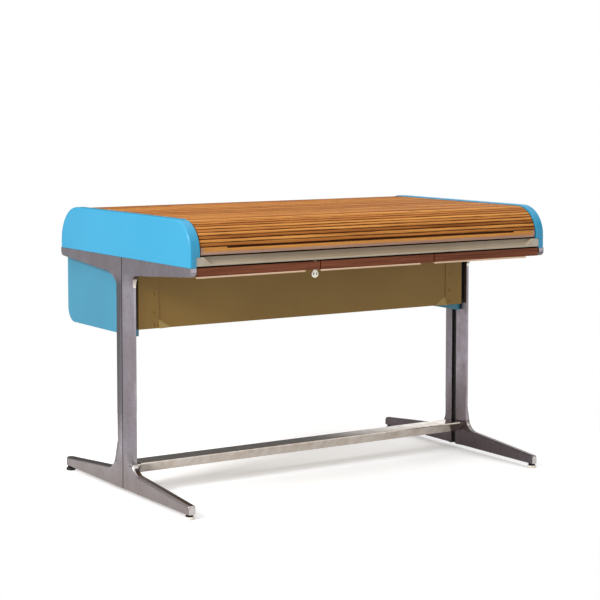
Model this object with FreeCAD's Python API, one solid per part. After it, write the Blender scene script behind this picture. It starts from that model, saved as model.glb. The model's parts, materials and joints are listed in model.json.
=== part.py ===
"""Tambour desk: two cast aluminium legs, a foot rail, painted cheeks, a worktop with three
drawers under it, a hanging file bin behind it and a slatted tambour over it.

Frame: +X along the desk's length, to the right of the person who sits at it; that person is
at -Y; +Z is up; the origin is on the floor under the middle of the desk. Millimetres.
"""
import FreeCAD, Part
import math
import os

# --- overall sizes -----------------------------------------------------------------------
desk_length = 1245.0
desk_depth = 820.0
desk_height = 822.0
half_length = desk_length / 2
half_depth = desk_depth / 2
weld = 5.0                       # how far two shapes of one casting run into each other
running_gap = 0.4                # between a moving wooden piece and its guide
seat_gap = 0.3                   # between a loose piece and the piece it lies on
over = 1.0                       # how far a cutting shape runs past what it cuts
edge_tolerance = 0.1             # for telling which edges of a shape to round

# --- cast legs -----------------------------------------------------------------------------
arm_tip_height = 24.0
arm_root_height = 50.0
arm_thickness = 19.0
arm_tip_radius = 16.0
post_half_width = 54.0
post_thickness = 27.0
post_channel_wall = 4.0          # flat beside the channel, on the post's inner ridge
post_facet_depth = 10.5
post_facet_blend = 60.0
post_facet_start = 17.0          # how far into the fillets the facets reach
post_facet_least = 0.05          # their depth where they run out
arm_fillet = 38.0
foot_setback = 18.0              # of the foot's tip from the desk's front and rear
foot_tip_height = 26.0
foot_root_height = 55.0
foot_thickness = 22.0
foot_fillet = 45.0
foot_tip_radius = 8.0
foot_edge_radius = 8.0           # of the outer edge along the foot's top
foot_ledge = 2.0                 # of the foot's inner part under its outer edge
groove_width = 3.5
groove_depth = 4.0
channel_width = 22.0
channel_depth = 10.0
channel_strip_thickness = 3.0
channel_strip_end_margin = 1.0

# --- glides ----------------------------------------------------------------------------------
glide_inset = 15.0
glide_pad_radius = 14.5
glide_pad_height = 8.5
glide_pad_edge_radius = 1.5
glide_neck_radius = 10.5
glide_neck_height = 6.5
glide_stem_radius = 4.0
glide_stem_length = 16.0
glide_stem_clearance = 0.05

# --- foot rail -------------------------------------------------------------------------------
rail_top = 94.0
rail_height = 31.0
rail_front = -46.0
rail_depth = 66.0
rail_bevel = 17.0
rail_edge_height = 4.5           # of the upright strip along the top of its front and rear
rail_corner_radius = 1.5
rail_block_length = 9.0
rail_block_inset = 3.0
rail_stud_radius = 4.0
rail_stud_spacing = 30.0
rail_stud_cover = 4.0            # metal left between a stud and the bottom of the outer groove
rail_stud_grip = 30.0            # length of a stud inside the rail

# --- cheeks ------------------------------------------------------------------------------------
cheek_height = 129.0             # over the arm
cheek_thickness = 30.0
cheek_front_radius = 90.0
cheek_rear_radius = 108.0
cheek_edge_radius = 6.0
cheek_screw_radius = 3.0
cheek_screw_grip = 33.0          # length of a screw inside the cheek
cheek_screw_head_radius = 5.0
cheek_screw_head_height = 3.0
cheek_screw_head_clearance = 0.5
cheek_screw_recess = 2.0
cheek_screw_count = 4
cheek_screw_end_distance = 60.0

# --- worktop -----------------------------------------------------------------------------------
worktop_lift = 4.0               # height of its underside over the arms
worktop_thickness = 25.0
worktop_front_inset = 2.0
worktop_edge_depth = 30.0
worktop_side_gap = 0.3
scoop_end_margin = 35.0
scoop_depth = 12.0
scoop_lip_height = 4.0

# --- drawers -----------------------------------------------------------------------------------
drawer_count = 3
drawer_gap = 3.5
drawer_side_gap = 2.0
drawer_front_thickness = 18.0
drawer_front_height = 23.5
pull_height = 4.5
pull_face_height = 2.7
pull_stand_out = 2.0
pull_back_cut = 8.0
pull_stop = 50.0                 # bare stretch at the right end of each front
tray_drop = 3.5                  # of the tray's rim under the top of the drawer's front
tray_wall = 4.0
tray_floor = 3.0
tray_post_clearance = 22.0       # between the tray and the posts, front to back
tray_flange_width = 7.0
tray_flange_thickness = 2.5
tray_flange_drop = 8.2           # of the flange's underside under the tray's rim
tray_corner_radius = 6.0
runner_web = 3.0
runner_flange_width = 8.0
runner_flange_thickness = 3.0

# --- drawer lock -------------------------------------------------------------------------------
lock_from_split = 12.0
barrel_wall = 2.1
barrel_cover = 3.5               # wood left over the barrel
barrel_flange_overhang = 2.0
barrel_flange_thickness = 1.5
plug_wall = 0.8                  # least metal beside the key's slot
plug_clearance = 0.05
key_thickness = 2.4
key_blade_width = 5.4
key_blade_length = 13.0
key_bow_radius = 11.0
key_shank_length = 0.5
key_shank_root = 3.3             # how far the shank runs into the bow
key_slot_gap = 0.1
key_opening_width = 4.2
key_opening_length = 10.0
key_opening_offset = 4.8         # of an opening's middle from the key's middle
key_opening_rise = 1.3
key_opening_tilt = 24.0
cam_length = 19.0
cam_width = 8.0
cam_thickness = 1.8
cam_lift = 0.7                   # over the drawer's front
cam_clearance = 2.0              # under the worktop

# --- file bin ------------------------------------------------------------------------------------
bin_height = 230.0               # under the arm's top
bin_end_thickness = 18.0
bin_pocket_wall = 8.0            # of an end panel, outside the groove for the tambour
bin_post_clearance = 1.0
bin_corner_radius = 45.0
bin_front_face = -42.0
bin_front_thickness = 12.0
bin_front_rise = 21.0            # of the front panel's lower edge over the bin's bottom
bin_front_end_gap = 4.8
bin_floor_rise = 2.0             # of its underside over the front panel's lower edge
bin_floor_thickness = 10.0
bin_back_thickness = 8.0
bin_back_rise = 7.0
bin_inner_wall_thickness = 9.0
bin_inner_wall_gap = 1.7         # between the inner wall and the bent part of the back
pocket_front_clearance = 3.0     # between the tambour's canvas and the inner wall
pocket_rear_clearance = 6.0      # between the slats' faces and the back panel
pocket_end_clearance = 8.0       # under the tail of the open tambour
bracket_width = 66.0
bracket_thickness = 2.0
bracket_toe_width = 42.0         # of the sloping gusset at a bracket's lower inner corner
bracket_toe_height = 27.0
bracket_toe_depth = 10.0
bracket_screw_inset = 17.0
bracket_screw_radius = 2.0
bracket_screw_length = 12.0
bracket_screw_head_radius = 4.5
bracket_screw_head_height = 1.6
bracket_screw_rises = (10.0, 46.0, 100.0)   # over the front panel's lower edge
file_rail_thickness = 3.0
file_rail_height = 30.0
file_rail_drop = 3.0             # under the arm's top
file_rail_front_gap = 42.0       # between the front rail and the bin's front panel
file_rail_rear_gap = 41.0        # between the rear rail and the inner wall

# --- tambour -------------------------------------------------------------------------------------
tambour_recess = 3.0             # of the slats' faces under the cheeks' outline
slat_thickness = 6.0
canvas_thickness = 0.8
slat_pitch = 10.0
slat_gap = 1.2
slats_per_section = 2
slat_chamfer = 1.2
slat_shoulder_gap = 4.0
slat_tongue_thickness = 3.0
track_depth = 7.0
track_clearance = 0.3
track_end_gap = 2.0              # between a long tongue's end and the bottom of the track
lip_length = 22.0
lip_gap = 4.0                    # between the closed tambour and the worktop
lip_bevel_height = 8.0
lip_edge_thickness = 0.2         # left at the foot of the lip's bevel
finger_groove_height = 4.0
finger_groove_depth = 4.2
finger_groove_end_margin = 83.0
tail_slats = 7

# --- sizes that follow -----------------------------------------------------------------------------
arm_top = desk_height - cheek_height
arm_root = arm_top - arm_root_height
foot_reach = half_depth - foot_setback
foot_bottom = glide_pad_height + glide_neck_height
foot_root = foot_bottom + foot_root_height
post_seam = (foot_root + arm_root) / 2   # where the casting's upper and lower halves are drawn apart
post_ridge_half_width = channel_width / 2 + post_channel_wall
post_inner = half_length - post_thickness
cheek_inner = half_length - cheek_thickness
worktop_bottom = arm_top + worktop_lift
worktop_top = worktop_bottom + worktop_thickness
worktop_half = half_length - arm_thickness - worktop_side_gap
worktop_front = -half_depth + worktop_front_inset
worktop_rear = bin_front_face + bin_front_thickness
drawer_top_gap = cam_lift + cam_thickness + cam_clearance
drawer_top = worktop_bottom - drawer_top_gap
drawer_bottom = drawer_top - drawer_front_height
pull_bottom = drawer_bottom - pull_height
drawer_back = worktop_front + drawer_front_thickness
drawers_half = half_length - arm_thickness - drawer_side_gap
drawer_width = (2 * drawers_half - (drawer_count - 1) * drawer_gap) / drawer_count
tray_top = drawer_top - tray_drop
tray_rear = -post_half_width - tray_post_clearance
tray_flange_bottom = tray_top - tray_flange_drop
runner_flange_top = tray_flange_bottom - seat_gap
tray_side_inset = runner_flange_width + runner_web / 2 + drawer_gap
bin_outer = cheek_inner + bin_pocket_wall
bin_inner = bin_outer - bin_end_thickness
bin_bottom = arm_top - bin_height
bin_front_bottom = bin_bottom + bin_front_rise
bin_floor_bottom = bin_front_bottom + bin_floor_rise
plug_radius = math.hypot(key_blade_width / 2 + key_slot_gap, key_thickness / 2 + key_slot_gap) + plug_wall
barrel_radius = plug_radius + plug_clearance + barrel_wall
barrel_height = drawer_front_height - barrel_cover
slat_half = cheek_inner - running_gap
top_tongue_half = cheek_inner + track_depth - track_end_gap
rear_tambour_radius = cheek_rear_radius - bin_back_thickness - pocket_rear_clearance   # of the slats' faces
path_top = desk_height - tambour_recess - slat_thickness
front_radius = cheek_front_radius - tambour_recess - slat_thickness
front_centre_y = -half_depth + cheek_front_radius
front_centre_z = path_top - front_radius
rear_radius = rear_tambour_radius - slat_thickness
rear_centre_y = half_depth - cheek_rear_radius
rear_centre_z = path_top - rear_radius
bin_inner_wall_rear = rear_centre_y + rear_radius - pocket_front_clearance
bin_inner_wall_front = bin_inner_wall_rear - bin_inner_wall_thickness
front_straight = front_centre_z - (worktop_top + lip_gap)
front_arc = front_radius * math.pi / 2
flat_length = rear_centre_y - front_centre_y
rear_arc = rear_radius * math.pi / 2
tambour_travel = front_straight + front_arc
section_length = slats_per_section * slat_pitch
front_sections = math.ceil((tambour_travel - lip_length) / section_length)
rear_sections = math.ceil((tambour_travel + rear_arc) / section_length)
top_start = lip_length + front_sections * section_length
top_end = tambour_travel + flat_length - math.ceil(tambour_travel / section_length) * section_length
tail_start = top_end + rear_sections * section_length
tail_end = tail_start + tail_slats * slat_pitch
opened_tail_bottom = rear_centre_z - (tail_end - flat_length - rear_arc)
pocket_bottom = opened_tail_bottom - pocket_end_clearance


def block(x0, x1, y0, y1, z0, z1):
    """A box between two corners."""
    return Part.makeBox(x1 - x0, y1 - y0, z1 - z0, FreeCAD.Vector(x0, y0, z0))


def profile_face(points, x):
    """A face in the plane at x, from (y, z) points."""
    corners = [FreeCAD.Vector(x, y, z) for y, z in points]
    return Part.Face(Part.makePolygon(corners + corners[:1]))


def profile(points, x0, x1):
    """A prism along X from (y, z) points."""
    return profile_face(points, x0).extrude(FreeCAD.Vector(x1 - x0, 0, 0))


def plan(points, z0, z1):
    """A prism along Z from (x, y) points."""
    corners = [FreeCAD.Vector(x, y, z0) for x, y in points]
    face = Part.Face(Part.makePolygon(corners + corners[:1]))
    return face.extrude(FreeCAD.Vector(0, 0, z1 - z0))


def rod(x, y, z, radius, length, direction):
    """A cylinder from a point along a direction."""
    return Part.makeCylinder(radius, length, FreeCAD.Vector(x, y, z), FreeCAD.Vector(*direction))


def x_edges_at(shape, corners):
    """The edges of a shape that run along X through the given (y, z) corners."""
    found = []
    for edge in shape.Edges:
        first = edge.Vertexes[0].Point
        last = edge.Vertexes[-1].Point
        along = abs(last.x - first.x) > edge_tolerance
        straight = math.hypot(last.y - first.y, last.z - first.z) < edge_tolerance
        near = any(math.hypot(first.y - y, first.z - z) < edge_tolerance for y, z in corners)
        if along and straight and near:
            found.append(edge)
    return found


def mirrored(shape):
    """The same piece for the other end of the desk."""
    return shape.mirror(FreeCAD.Vector(0, 0, 0), FreeCAD.Vector(1, 0, 0))


def write(node, shapes):
    """Writes one node from its solids."""
    solids = []
    for shape in shapes:
        solids.extend(shape.Solids)
    whole = solids[0] if len(solids) == 1 else Part.makeCompound(solids)
    whole.exportStep("parts/" + node + ".step")


# --- legs ------------------------------------------------------------------------------------------
def upper_web():
    """The outer plate of the left leg's upper half: arms along the cheek, and the post under them."""
    right = [
        (half_depth, arm_top),
        (half_depth, arm_top - arm_tip_height),
        (post_half_width, arm_root),
        (post_half_width, post_seam),
    ]
    left = [(-y, z) for y, z in right[::-1]]
    web = profile(right + left, -half_length, -half_length + arm_thickness)
    rounded_corners = [
        (arm_fillet, post_half_width, arm_root),
        (arm_tip_radius, half_depth, arm_top - arm_tip_height),
    ]
    for radius, y, z in rounded_corners:
        web = web.makeFillet(radius, x_edges_at(web, [(-y, z), (y, z)]))
    return web


def lower_web():
    """The outer plate of the left leg's lower half: the post, and feet that taper to their tips."""
    tip = (foot_reach, foot_bottom + foot_tip_height)
    right = [(post_half_width, post_seam), (post_half_width, foot_root), tip, (foot_reach, foot_bottom)]
    left = [(-y, z) for y, z in right[::-1]]
    web = profile(right + left, -half_length, -half_length + arm_thickness)
    root_edges = x_edges_at(web, [(-post_half_width, foot_root), (post_half_width, foot_root)])
    web = web.makeFillet(foot_fillet, root_edges)
    web = web.makeFillet(foot_edge_radius, foot_rims(web))
    return web.makeFillet(foot_tip_radius, x_edges_at(web, [(-tip[0], tip[1]), tip]))


def foot_rims(web):
    """The edges of the lower half's outer face along the feet's tops and up the post."""
    rims = []
    for edge in web.Edges:
        box = edge.BoundBox
        on_outer_face = box.XMax < -half_length + edge_tolerance
        on_bottom = box.ZMax < foot_bottom + edge_tolerance
        on_seam = box.ZMin > post_seam - edge_tolerance
        on_tip = box.YLength < edge_tolerance and box.ZMax < foot_root - edge_tolerance
        if on_outer_face and not (on_bottom or on_seam or on_tip):
            rims.append(edge)
    return rims


def foot_pad():
    """The thick inner part of the two feet, a ledge lower than their outer edge."""
    tip = (foot_reach, foot_bottom + foot_tip_height - foot_ledge)
    right = [(post_half_width, foot_root - foot_ledge), tip, (foot_reach, foot_bottom)]
    left = [(-y, z) for y, z in right[::-1]]
    pad = profile(right + left, -half_length + arm_thickness - weld, -half_length + foot_thickness)
    return pad.makeFillet(foot_tip_radius, x_edges_at(pad, [(-tip[0], tip[1]), tip]))


def facet_cutter():
    """Cuts one outer facet of the post, running out into the arm and the foot."""
    low = foot_root + post_facet_start
    high = arm_root - post_facet_start
    outside = -half_length - over
    edge = post_half_width + over

    def section(z, depth):
        corners = [
            FreeCAD.Vector(outside, 0, z),
            FreeCAD.Vector(-half_length, -groove_width, z),
            FreeCAD.Vector(-half_length + depth, -edge, z),
            FreeCAD.Vector(outside, -edge, z),
        ]
        return Part.makePolygon(corners + corners[:1])

    sections = [
        section(low, post_facet_least),
        section(low + post_facet_blend, post_facet_depth),
        section(high - post_facet_blend, post_facet_depth),
        section(high, post_facet_least),
    ]
    return Part.makeLoft(sections, True, True)


def left_leg():
    """The left leg casting."""
    ridge_base = -half_length + arm_thickness
    ridge = plan(
        [
            (ridge_base - weld, -post_half_width + weld),
            (ridge_base, -post_half_width),
            (-post_inner, -post_ridge_half_width),
            (-post_inner, post_ridge_half_width),
            (ridge_base, post_half_width),
            (ridge_base - weld, post_half_width - weld),
        ],
        foot_bottom,
        arm_top,
    )
    leg = upper_web().fuse([lower_web(), foot_pad(), ridge])
    cutter = facet_cutter()
    other_cutter = cutter.mirror(FreeCAD.Vector(0, 0, 0), FreeCAD.Vector(0, 1, 0))
    groove = block(
        -half_length - over, -half_length + groove_depth, -groove_width / 2, groove_width / 2,
        0, arm_top + over,
    )
    channel = block(
        -post_inner - channel_depth, -post_inner + over, -channel_width / 2, channel_width / 2,
        0, arm_top + over,
    )
    leg = leg.cut([cutter, other_cutter, groove, channel])
    bores = [glide_bore(sign * glide_y()) for sign in (-1, 1)]
    bores.extend(rail_studs())
    bores.extend(cheek_screw_bores())
    return leg.cut(bores).removeSplitter()


def glide_y():
    """How far the glides stand from the desk's middle, front to back."""
    return foot_reach - glide_inset


def glide_x():
    """The glides' distance from the desk's middle plane."""
    return half_length - foot_thickness / 2


def glide_bore(y):
    """The hole in the foot for a glide's stem, on the left."""
    radius = glide_stem_radius + glide_stem_clearance
    return rod(-glide_x(), y, foot_bottom - over, radius, glide_stem_length + 2 * over, (0, 0, 1))


def channel_strip():
    """The dark strip at the bottom of the left post's channel, with holes for the rail's studs."""
    floor = -post_inner - channel_depth
    half = channel_width / 2 - seat_gap
    strip = block(
        floor,
        floor + channel_strip_thickness,
        -half,
        half,
        foot_bottom + channel_strip_end_margin,
        arm_top - channel_strip_end_margin,
    )
    return strip.cut(rail_studs())


def glides():
    """Pads and stems of the four glides."""
    pads = []
    stems = []
    for x in (-glide_x(), glide_x()):
        for y in (-glide_y(), glide_y()):
            pad = rod(x, y, 0, glide_pad_radius, glide_pad_height, (0, 0, 1))
            rims = [edge for edge in pad.Edges if isinstance(edge.Curve, Part.Circle)]
            pads.append(pad.makeFillet(glide_pad_edge_radius, rims))
            neck = rod(x, y, glide_pad_height, glide_neck_radius, glide_neck_height, (0, 0, 1))
            stem_length = glide_neck_height + glide_stem_length
            stem = rod(x, y, glide_pad_height, glide_stem_radius, stem_length, (0, 0, 1))
            stems.append(neck.fuse(stem).removeSplitter())
    return pads, stems


# --- foot rail -------------------------------------------------------------------------------------
def rail_profile(inset):
    """The foot rail's section: a flat top, and a front that leans back towards the bottom."""
    front = rail_front + inset
    rear = rail_front + rail_depth - inset
    top = rail_top - inset
    bottom = rail_top - rail_height + inset
    return [
        (front, top),
        (front, top - rail_edge_height),
        (front + rail_bevel, bottom),
        (rear - rail_bevel, bottom),
        (rear, top - rail_edge_height),
        (rear, top),
    ]


def rail_block_face():
    """Where the rail's end meets its end block."""
    return post_inner - rail_block_length


def foot_rail():
    """The foot rail between its two end blocks, with threaded holes in its ends."""
    bar = profile(rail_profile(0), -rail_block_face(), rail_block_face())
    edges = x_edges_at(bar, rail_profile(0))
    bar = bar.makeFillet(rail_corner_radius, edges)
    return bar.cut(with_mirror(rail_studs()))


def rail_stud_places():
    """Front-to-back places of the two studs at each end of the rail."""
    middle = rail_front + rail_depth / 2
    return (middle - rail_stud_spacing / 2, middle + rail_stud_spacing / 2)


def rail_stud_height():
    """Height of the rail's studs over the floor."""
    return rail_top - rail_height / 2


def rail_stud_end():
    """How far towards the desk's end the rail's studs reach, inside the post."""
    return half_length - groove_depth - rail_stud_cover


def rail_studs():
    """The studs that hold the rail, at the left end."""
    length = rail_stud_end() - rail_block_face() + rail_stud_grip
    return [
        rod(-rail_stud_end(), y, rail_stud_height(), rail_stud_radius, length, (1, 0, 0))
        for y in rail_stud_places()
    ]


def rail_end_block(leg, strip):
    """The block between the rail's left end and the post, shaped to the post's facets."""
    blank = profile(rail_profile(rail_block_inset), -half_length + arm_thickness, -rail_block_face())
    body = blank.cut([leg, strip] + rail_studs())
    return max(body.Solids, key=lambda solid: solid.Volume)


# --- cheeks ----------------------------------------------------------------------------------------
def cheek_outline_face():
    """The cheek's side view: a flat top between two quarter rounds."""
    x = -half_length
    root = math.sqrt(0.5)

    def at(y, z):
        return FreeCAD.Vector(x, y, z)

    front_y = -half_depth + cheek_front_radius
    front_z = desk_height - cheek_front_radius
    rear_y = half_depth - cheek_rear_radius
    rear_z = desk_height - cheek_rear_radius
    front_mid = at(front_y - cheek_front_radius * root, front_z + cheek_front_radius * root)
    rear_mid = at(rear_y + cheek_rear_radius * root, rear_z + cheek_rear_radius * root)
    edges = [
        Part.makeLine(at(-half_depth, arm_top), at(-half_depth, front_z)),
        Part.Arc(at(-half_depth, front_z), front_mid, at(front_y, desk_height)).toShape(),
        Part.makeLine(at(front_y, desk_height), at(rear_y, desk_height)),
        Part.Arc(at(rear_y, desk_height), rear_mid, at(half_depth, rear_z)).toShape(),
        Part.makeLine(at(half_depth, rear_z), at(half_depth, arm_top)),
        Part.makeLine(at(half_depth, arm_top), at(-half_depth, arm_top)),
    ]
    return Part.Face(Part.Wire(edges))


def outer_rim(cheek):
    """The edges of the cheek's outer face, apart from the one on the arm."""
    rim = []
    for edge in cheek.Edges:
        box = edge.BoundBox
        on_outer_face = box.XMax < -half_length + edge_tolerance
        if on_outer_face and box.ZMax > arm_top + edge_tolerance:
            rim.append(edge)
    return rim


def track():
    """The groove in the left cheek that the tambour's tongues run in, front lip to bin."""
    x0 = -cheek_inner - track_depth
    x1 = -cheek_inner + over
    low = path_top - track_clearance
    high = path_top + slat_tongue_thickness + track_clearance
    flat = block(x0, x1, front_centre_y, rear_centre_y, low, high)
    quarters = [
        (front_centre_y, front_centre_z, front_radius, -1),
        (rear_centre_y, rear_centre_z, rear_radius, 1),
    ]
    pieces = []
    for y, z, radius, side in quarters:
        outer = rod(x0, y, z, radius + slat_tongue_thickness + track_clearance, x1 - x0, (1, 0, 0))
        inner = rod(x0, y, z, radius - track_clearance, x1 - x0, (1, 0, 0))
        reach = radius + slat_thickness
        quadrant = block(x0, x1, min(y, y + side * reach), max(y, y + side * reach), z, z + reach)
        pieces.append(outer.cut(inner).common(quadrant))
    rear_face = rear_centre_y + rear_radius
    drop = block(
        x0, x1, rear_face - track_clearance, rear_face + slat_tongue_thickness + track_clearance,
        arm_top - over, rear_centre_z,
    )
    front_face = front_centre_y - front_radius
    foot = block(
        x0, x1, front_face - slat_tongue_thickness - track_clearance, front_face + track_clearance,
        worktop_top, front_centre_z,
    )
    return flat.fuse(pieces + [drop, foot])


def left_cheek():
    """The left painted cheek, rebated for the worktop and the drawers."""
    cheek = cheek_outline_face().extrude(FreeCAD.Vector(cheek_thickness, 0, 0))
    cheek = cheek.makeFillet(cheek_edge_radius, outer_rim(cheek))
    rebate = block(
        -half_length + arm_thickness,
        -cheek_inner + over,
        -half_depth - over,
        worktop_rear + seat_gap,
        arm_top - over,
        worktop_top,
    )
    return cheek.cut([rebate, track()] + cheek_screw_holes())


def cheek_screw_places():
    """Front-to-back places of the screws from the arm into the cheek."""
    reach = half_depth - cheek_screw_end_distance
    step = 2 * reach / (cheek_screw_count - 1)
    return [-reach + step * number for number in range(cheek_screw_count)]


def cheek_screw_x():
    """Distance of those screws from the desk's middle plane."""
    return half_length - arm_thickness / 2


def arm_underside(y):
    """Height of the arm's straight lower edge."""
    share = (half_depth - abs(y)) / (half_depth - post_half_width)
    return arm_top - arm_tip_height - share * (arm_root_height - arm_tip_height)


def cheek_screw_seat(y):
    """Height of the flat spot that a screw's head bears on."""
    return arm_underside(y) + cheek_screw_head_height + cheek_screw_recess


def cheek_screw_bores():
    """Holes through the left arm for the cheek's screws, wider at the heads."""
    bores = []
    x = -cheek_screw_x()
    head_radius = cheek_screw_head_radius + cheek_screw_head_clearance
    for y in cheek_screw_places():
        seat = cheek_screw_seat(y)
        bores.append(rod(x, y, seat - over, cheek_screw_radius, arm_top - seat + 2 * over, (0, 0, 1)))
        bores.append(rod(x, y, seat, head_radius, seat - arm_underside(y) + weld, (0, 0, -1)))
    return bores


def cheek_screw_holes():
    """Pilot holes in the left cheek for its screws."""
    return [
        rod(-cheek_screw_x(), y, arm_top - over, cheek_screw_radius, cheek_screw_grip + over, (0, 0, 1))
        for y in cheek_screw_places()
    ]


def cheek_screws():
    """The left cheek's screws, in their holes."""
    screws = []
    for y in cheek_screw_places():
        seat = cheek_screw_seat(y)
        length = arm_top + cheek_screw_grip - seat
        head = rod(-cheek_screw_x(), y, seat, cheek_screw_head_radius, cheek_screw_head_height, (0, 0, -1))
        shank = rod(-cheek_screw_x(), y, seat - over, cheek_screw_radius, length + over, (0, 0, 1))
        screws.append(head.fuse(shank))
    return screws


# --- worktop ---------------------------------------------------------------------------------------
def worktop_board():
    """The worktop behind its front edge piece."""
    front = worktop_front + worktop_edge_depth
    return block(-worktop_half, worktop_half, front, worktop_rear, worktop_bottom, worktop_top)


def worktop_edge():
    """The worktop's front edge, hollowed between its ends for the fingers that lift the tambour."""
    rear = worktop_front + worktop_edge_depth
    edge = block(-worktop_half, worktop_half, worktop_front, rear, worktop_bottom, worktop_top)
    scoop_half = worktop_half - scoop_end_margin
    lip_top = worktop_bottom + scoop_lip_height
    rise = worktop_top - lip_top
    radius = (scoop_depth ** 2 + rise ** 2) / (2 * scoop_depth)
    centre_y = worktop_front + scoop_depth - radius
    cove_half = scoop_half + scoop_depth
    cove = rod(-cove_half, centre_y, worktop_top, radius, 2 * cove_half, (1, 0, 0))
    back = worktop_front + scoop_depth
    window = plan(
        [
            (-scoop_half - over, worktop_front - over),
            (scoop_half + over, worktop_front - over),
            (scoop_half - scoop_depth, back),
            (-scoop_half + scoop_depth, back),
        ],
        lip_top,
        worktop_top + over,
    )
    return edge.cut(cove.common(window))


# --- drawers ---------------------------------------------------------------------------------------
def drawer_left_end(number):
    """Left end of a drawer's front."""
    return -drawers_half + number * (drawer_width + drawer_gap)


def lock_x():
    """The drawer lock's place along the desk: by the right end of the left drawer."""
    return drawer_left_end(0) + drawer_width - lock_from_split


def lock_y():
    """The drawer lock's place front to back: in the middle of the drawer's front."""
    return worktop_front + drawer_front_thickness / 2


def drawer_front(number):
    """A drawer's walnut front."""
    left = drawer_left_end(number)
    front = block(left, left + drawer_width, worktop_front, drawer_back, drawer_bottom, drawer_top)
    if number == 0:
        barrel = rod(lock_x(), lock_y(), drawer_bottom - over, barrel_radius, barrel_height + over, (0, 0, 1))
        way_radius = plug_radius + plug_clearance
        plug_way = rod(lock_x(), lock_y(), drawer_bottom, way_radius, drawer_front_height + over, (0, 0, 1))
        front = front.cut([barrel, plug_way])
    return front


def drawer_pull(number):
    """The pale strip under a drawer's front, which the fingers pull; it stops short of the right end."""
    left = drawer_left_end(number)
    section = [
        (worktop_front - pull_stand_out, pull_bottom),
        (worktop_front - pull_stand_out, pull_bottom + pull_face_height),
        (worktop_front, drawer_bottom),
        (drawer_back - pull_back_cut, drawer_bottom),
        (drawer_back - pull_back_cut, pull_bottom + pull_face_height),
        (worktop_front + pull_stand_out, pull_bottom),
    ]
    return profile(section, left, left + drawer_width - pull_stop)


def drawer_tray(number):
    """A drawer's moulded tray, with flanges that hang on the runners."""
    left = drawer_left_end(number) + tray_side_inset
    right = drawer_left_end(number) + drawer_width - tray_side_inset
    shell = block(left, right, drawer_back, tray_rear, drawer_bottom, tray_top)
    hollow = block(
        left + tray_wall, right - tray_wall, drawer_back + tray_wall, tray_rear - tray_wall,
        drawer_bottom + tray_floor, tray_top + over,
    )
    uprights = [edge for edge in hollow.Edges if edge.BoundBox.ZLength > edge_tolerance]
    hollow = hollow.makeFillet(tray_corner_radius, uprights)
    low = tray_flange_bottom
    high = low + tray_flange_thickness
    flange_left = block(left - tray_flange_width, left + tray_wall / 2, drawer_back, tray_rear, low, high)
    flange_right = block(right - tray_wall / 2, right + tray_flange_width, drawer_back, tray_rear, low, high)
    return shell.fuse([flange_left, flange_right]).cut(hollow).removeSplitter()


def drawer_runners():
    """Runners under the worktop: T sections between drawers and angles at the two ends."""
    low = runner_flange_top - runner_flange_thickness
    runners = []
    for number in range(drawer_count + 1):
        if number == 0:
            web_left = -drawers_half
        elif number == drawer_count:
            web_left = drawers_half - runner_web
        else:
            web_left = drawer_left_end(number) - drawer_gap / 2 - runner_web / 2
        flange_left = web_left if number == 0 else web_left - runner_flange_width
        flange_right = web_left + runner_web
        if number < drawer_count:
            flange_right += runner_flange_width
        back = drawer_back + running_gap
        web = block(web_left, web_left + runner_web, back, tray_rear, low, worktop_bottom)
        flange = block(flange_left, flange_right, back, tray_rear, low, runner_flange_top)
        runners.append(web.fuse(flange).removeSplitter())
    return runners


# --- drawer lock -----------------------------------------------------------------------------------
def lock_barrel():
    """The lock's barrel, in the left drawer's front, with a flange under it."""
    barrel = rod(lock_x(), lock_y(), drawer_bottom, barrel_radius, barrel_height, (0, 0, 1))
    flange_radius = barrel_radius + barrel_flange_overhang
    flange = rod(lock_x(), lock_y(), drawer_bottom, flange_radius, barrel_flange_thickness, (0, 0, -1))
    bore_length = barrel_flange_thickness + barrel_height + 2 * over
    bore = rod(lock_x(), lock_y(), plug_bottom() - over, plug_radius + plug_clearance, bore_length, (0, 0, 1))
    return barrel.fuse(flange).cut(bore).removeSplitter()


def plug_bottom():
    """Height of the plug's lower face, where the key goes in."""
    return drawer_bottom - barrel_flange_thickness


def cam_bottom():
    """Height of the cam's lower face, just over the drawer's front."""
    return drawer_top + cam_lift


def lock_plug():
    """The plug that turns in the barrel, with a slot for the key."""
    plug = rod(lock_x(), lock_y(), plug_bottom(), plug_radius, cam_bottom() - plug_bottom(), (0, 0, 1))
    half_width = key_blade_width / 2 + key_slot_gap
    half_thick = key_thickness / 2 + key_slot_gap
    slot = block(
        lock_x() - half_width, lock_x() + half_width, lock_y() - half_thick, lock_y() + half_thick,
        plug_bottom() - over, plug_bottom() + key_blade_length + key_slot_gap,
    )
    return plug.cut(slot)


def lock_cam():
    """The cam on top of the plug; at rest it points to the drawer's back."""
    half = cam_width / 2
    bar = block(
        lock_x() - half, lock_x() + half, lock_y(), lock_y() + cam_length - half, cam_bottom(),
        cam_bottom() + cam_thickness,
    )
    hub = rod(lock_x(), lock_y(), cam_bottom(), half, cam_thickness, (0, 0, 1))
    tip = rod(lock_x(), lock_y() + cam_length - half, cam_bottom(), half, cam_thickness, (0, 0, 1))
    return bar.fuse([hub, tip]).removeSplitter()


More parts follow.
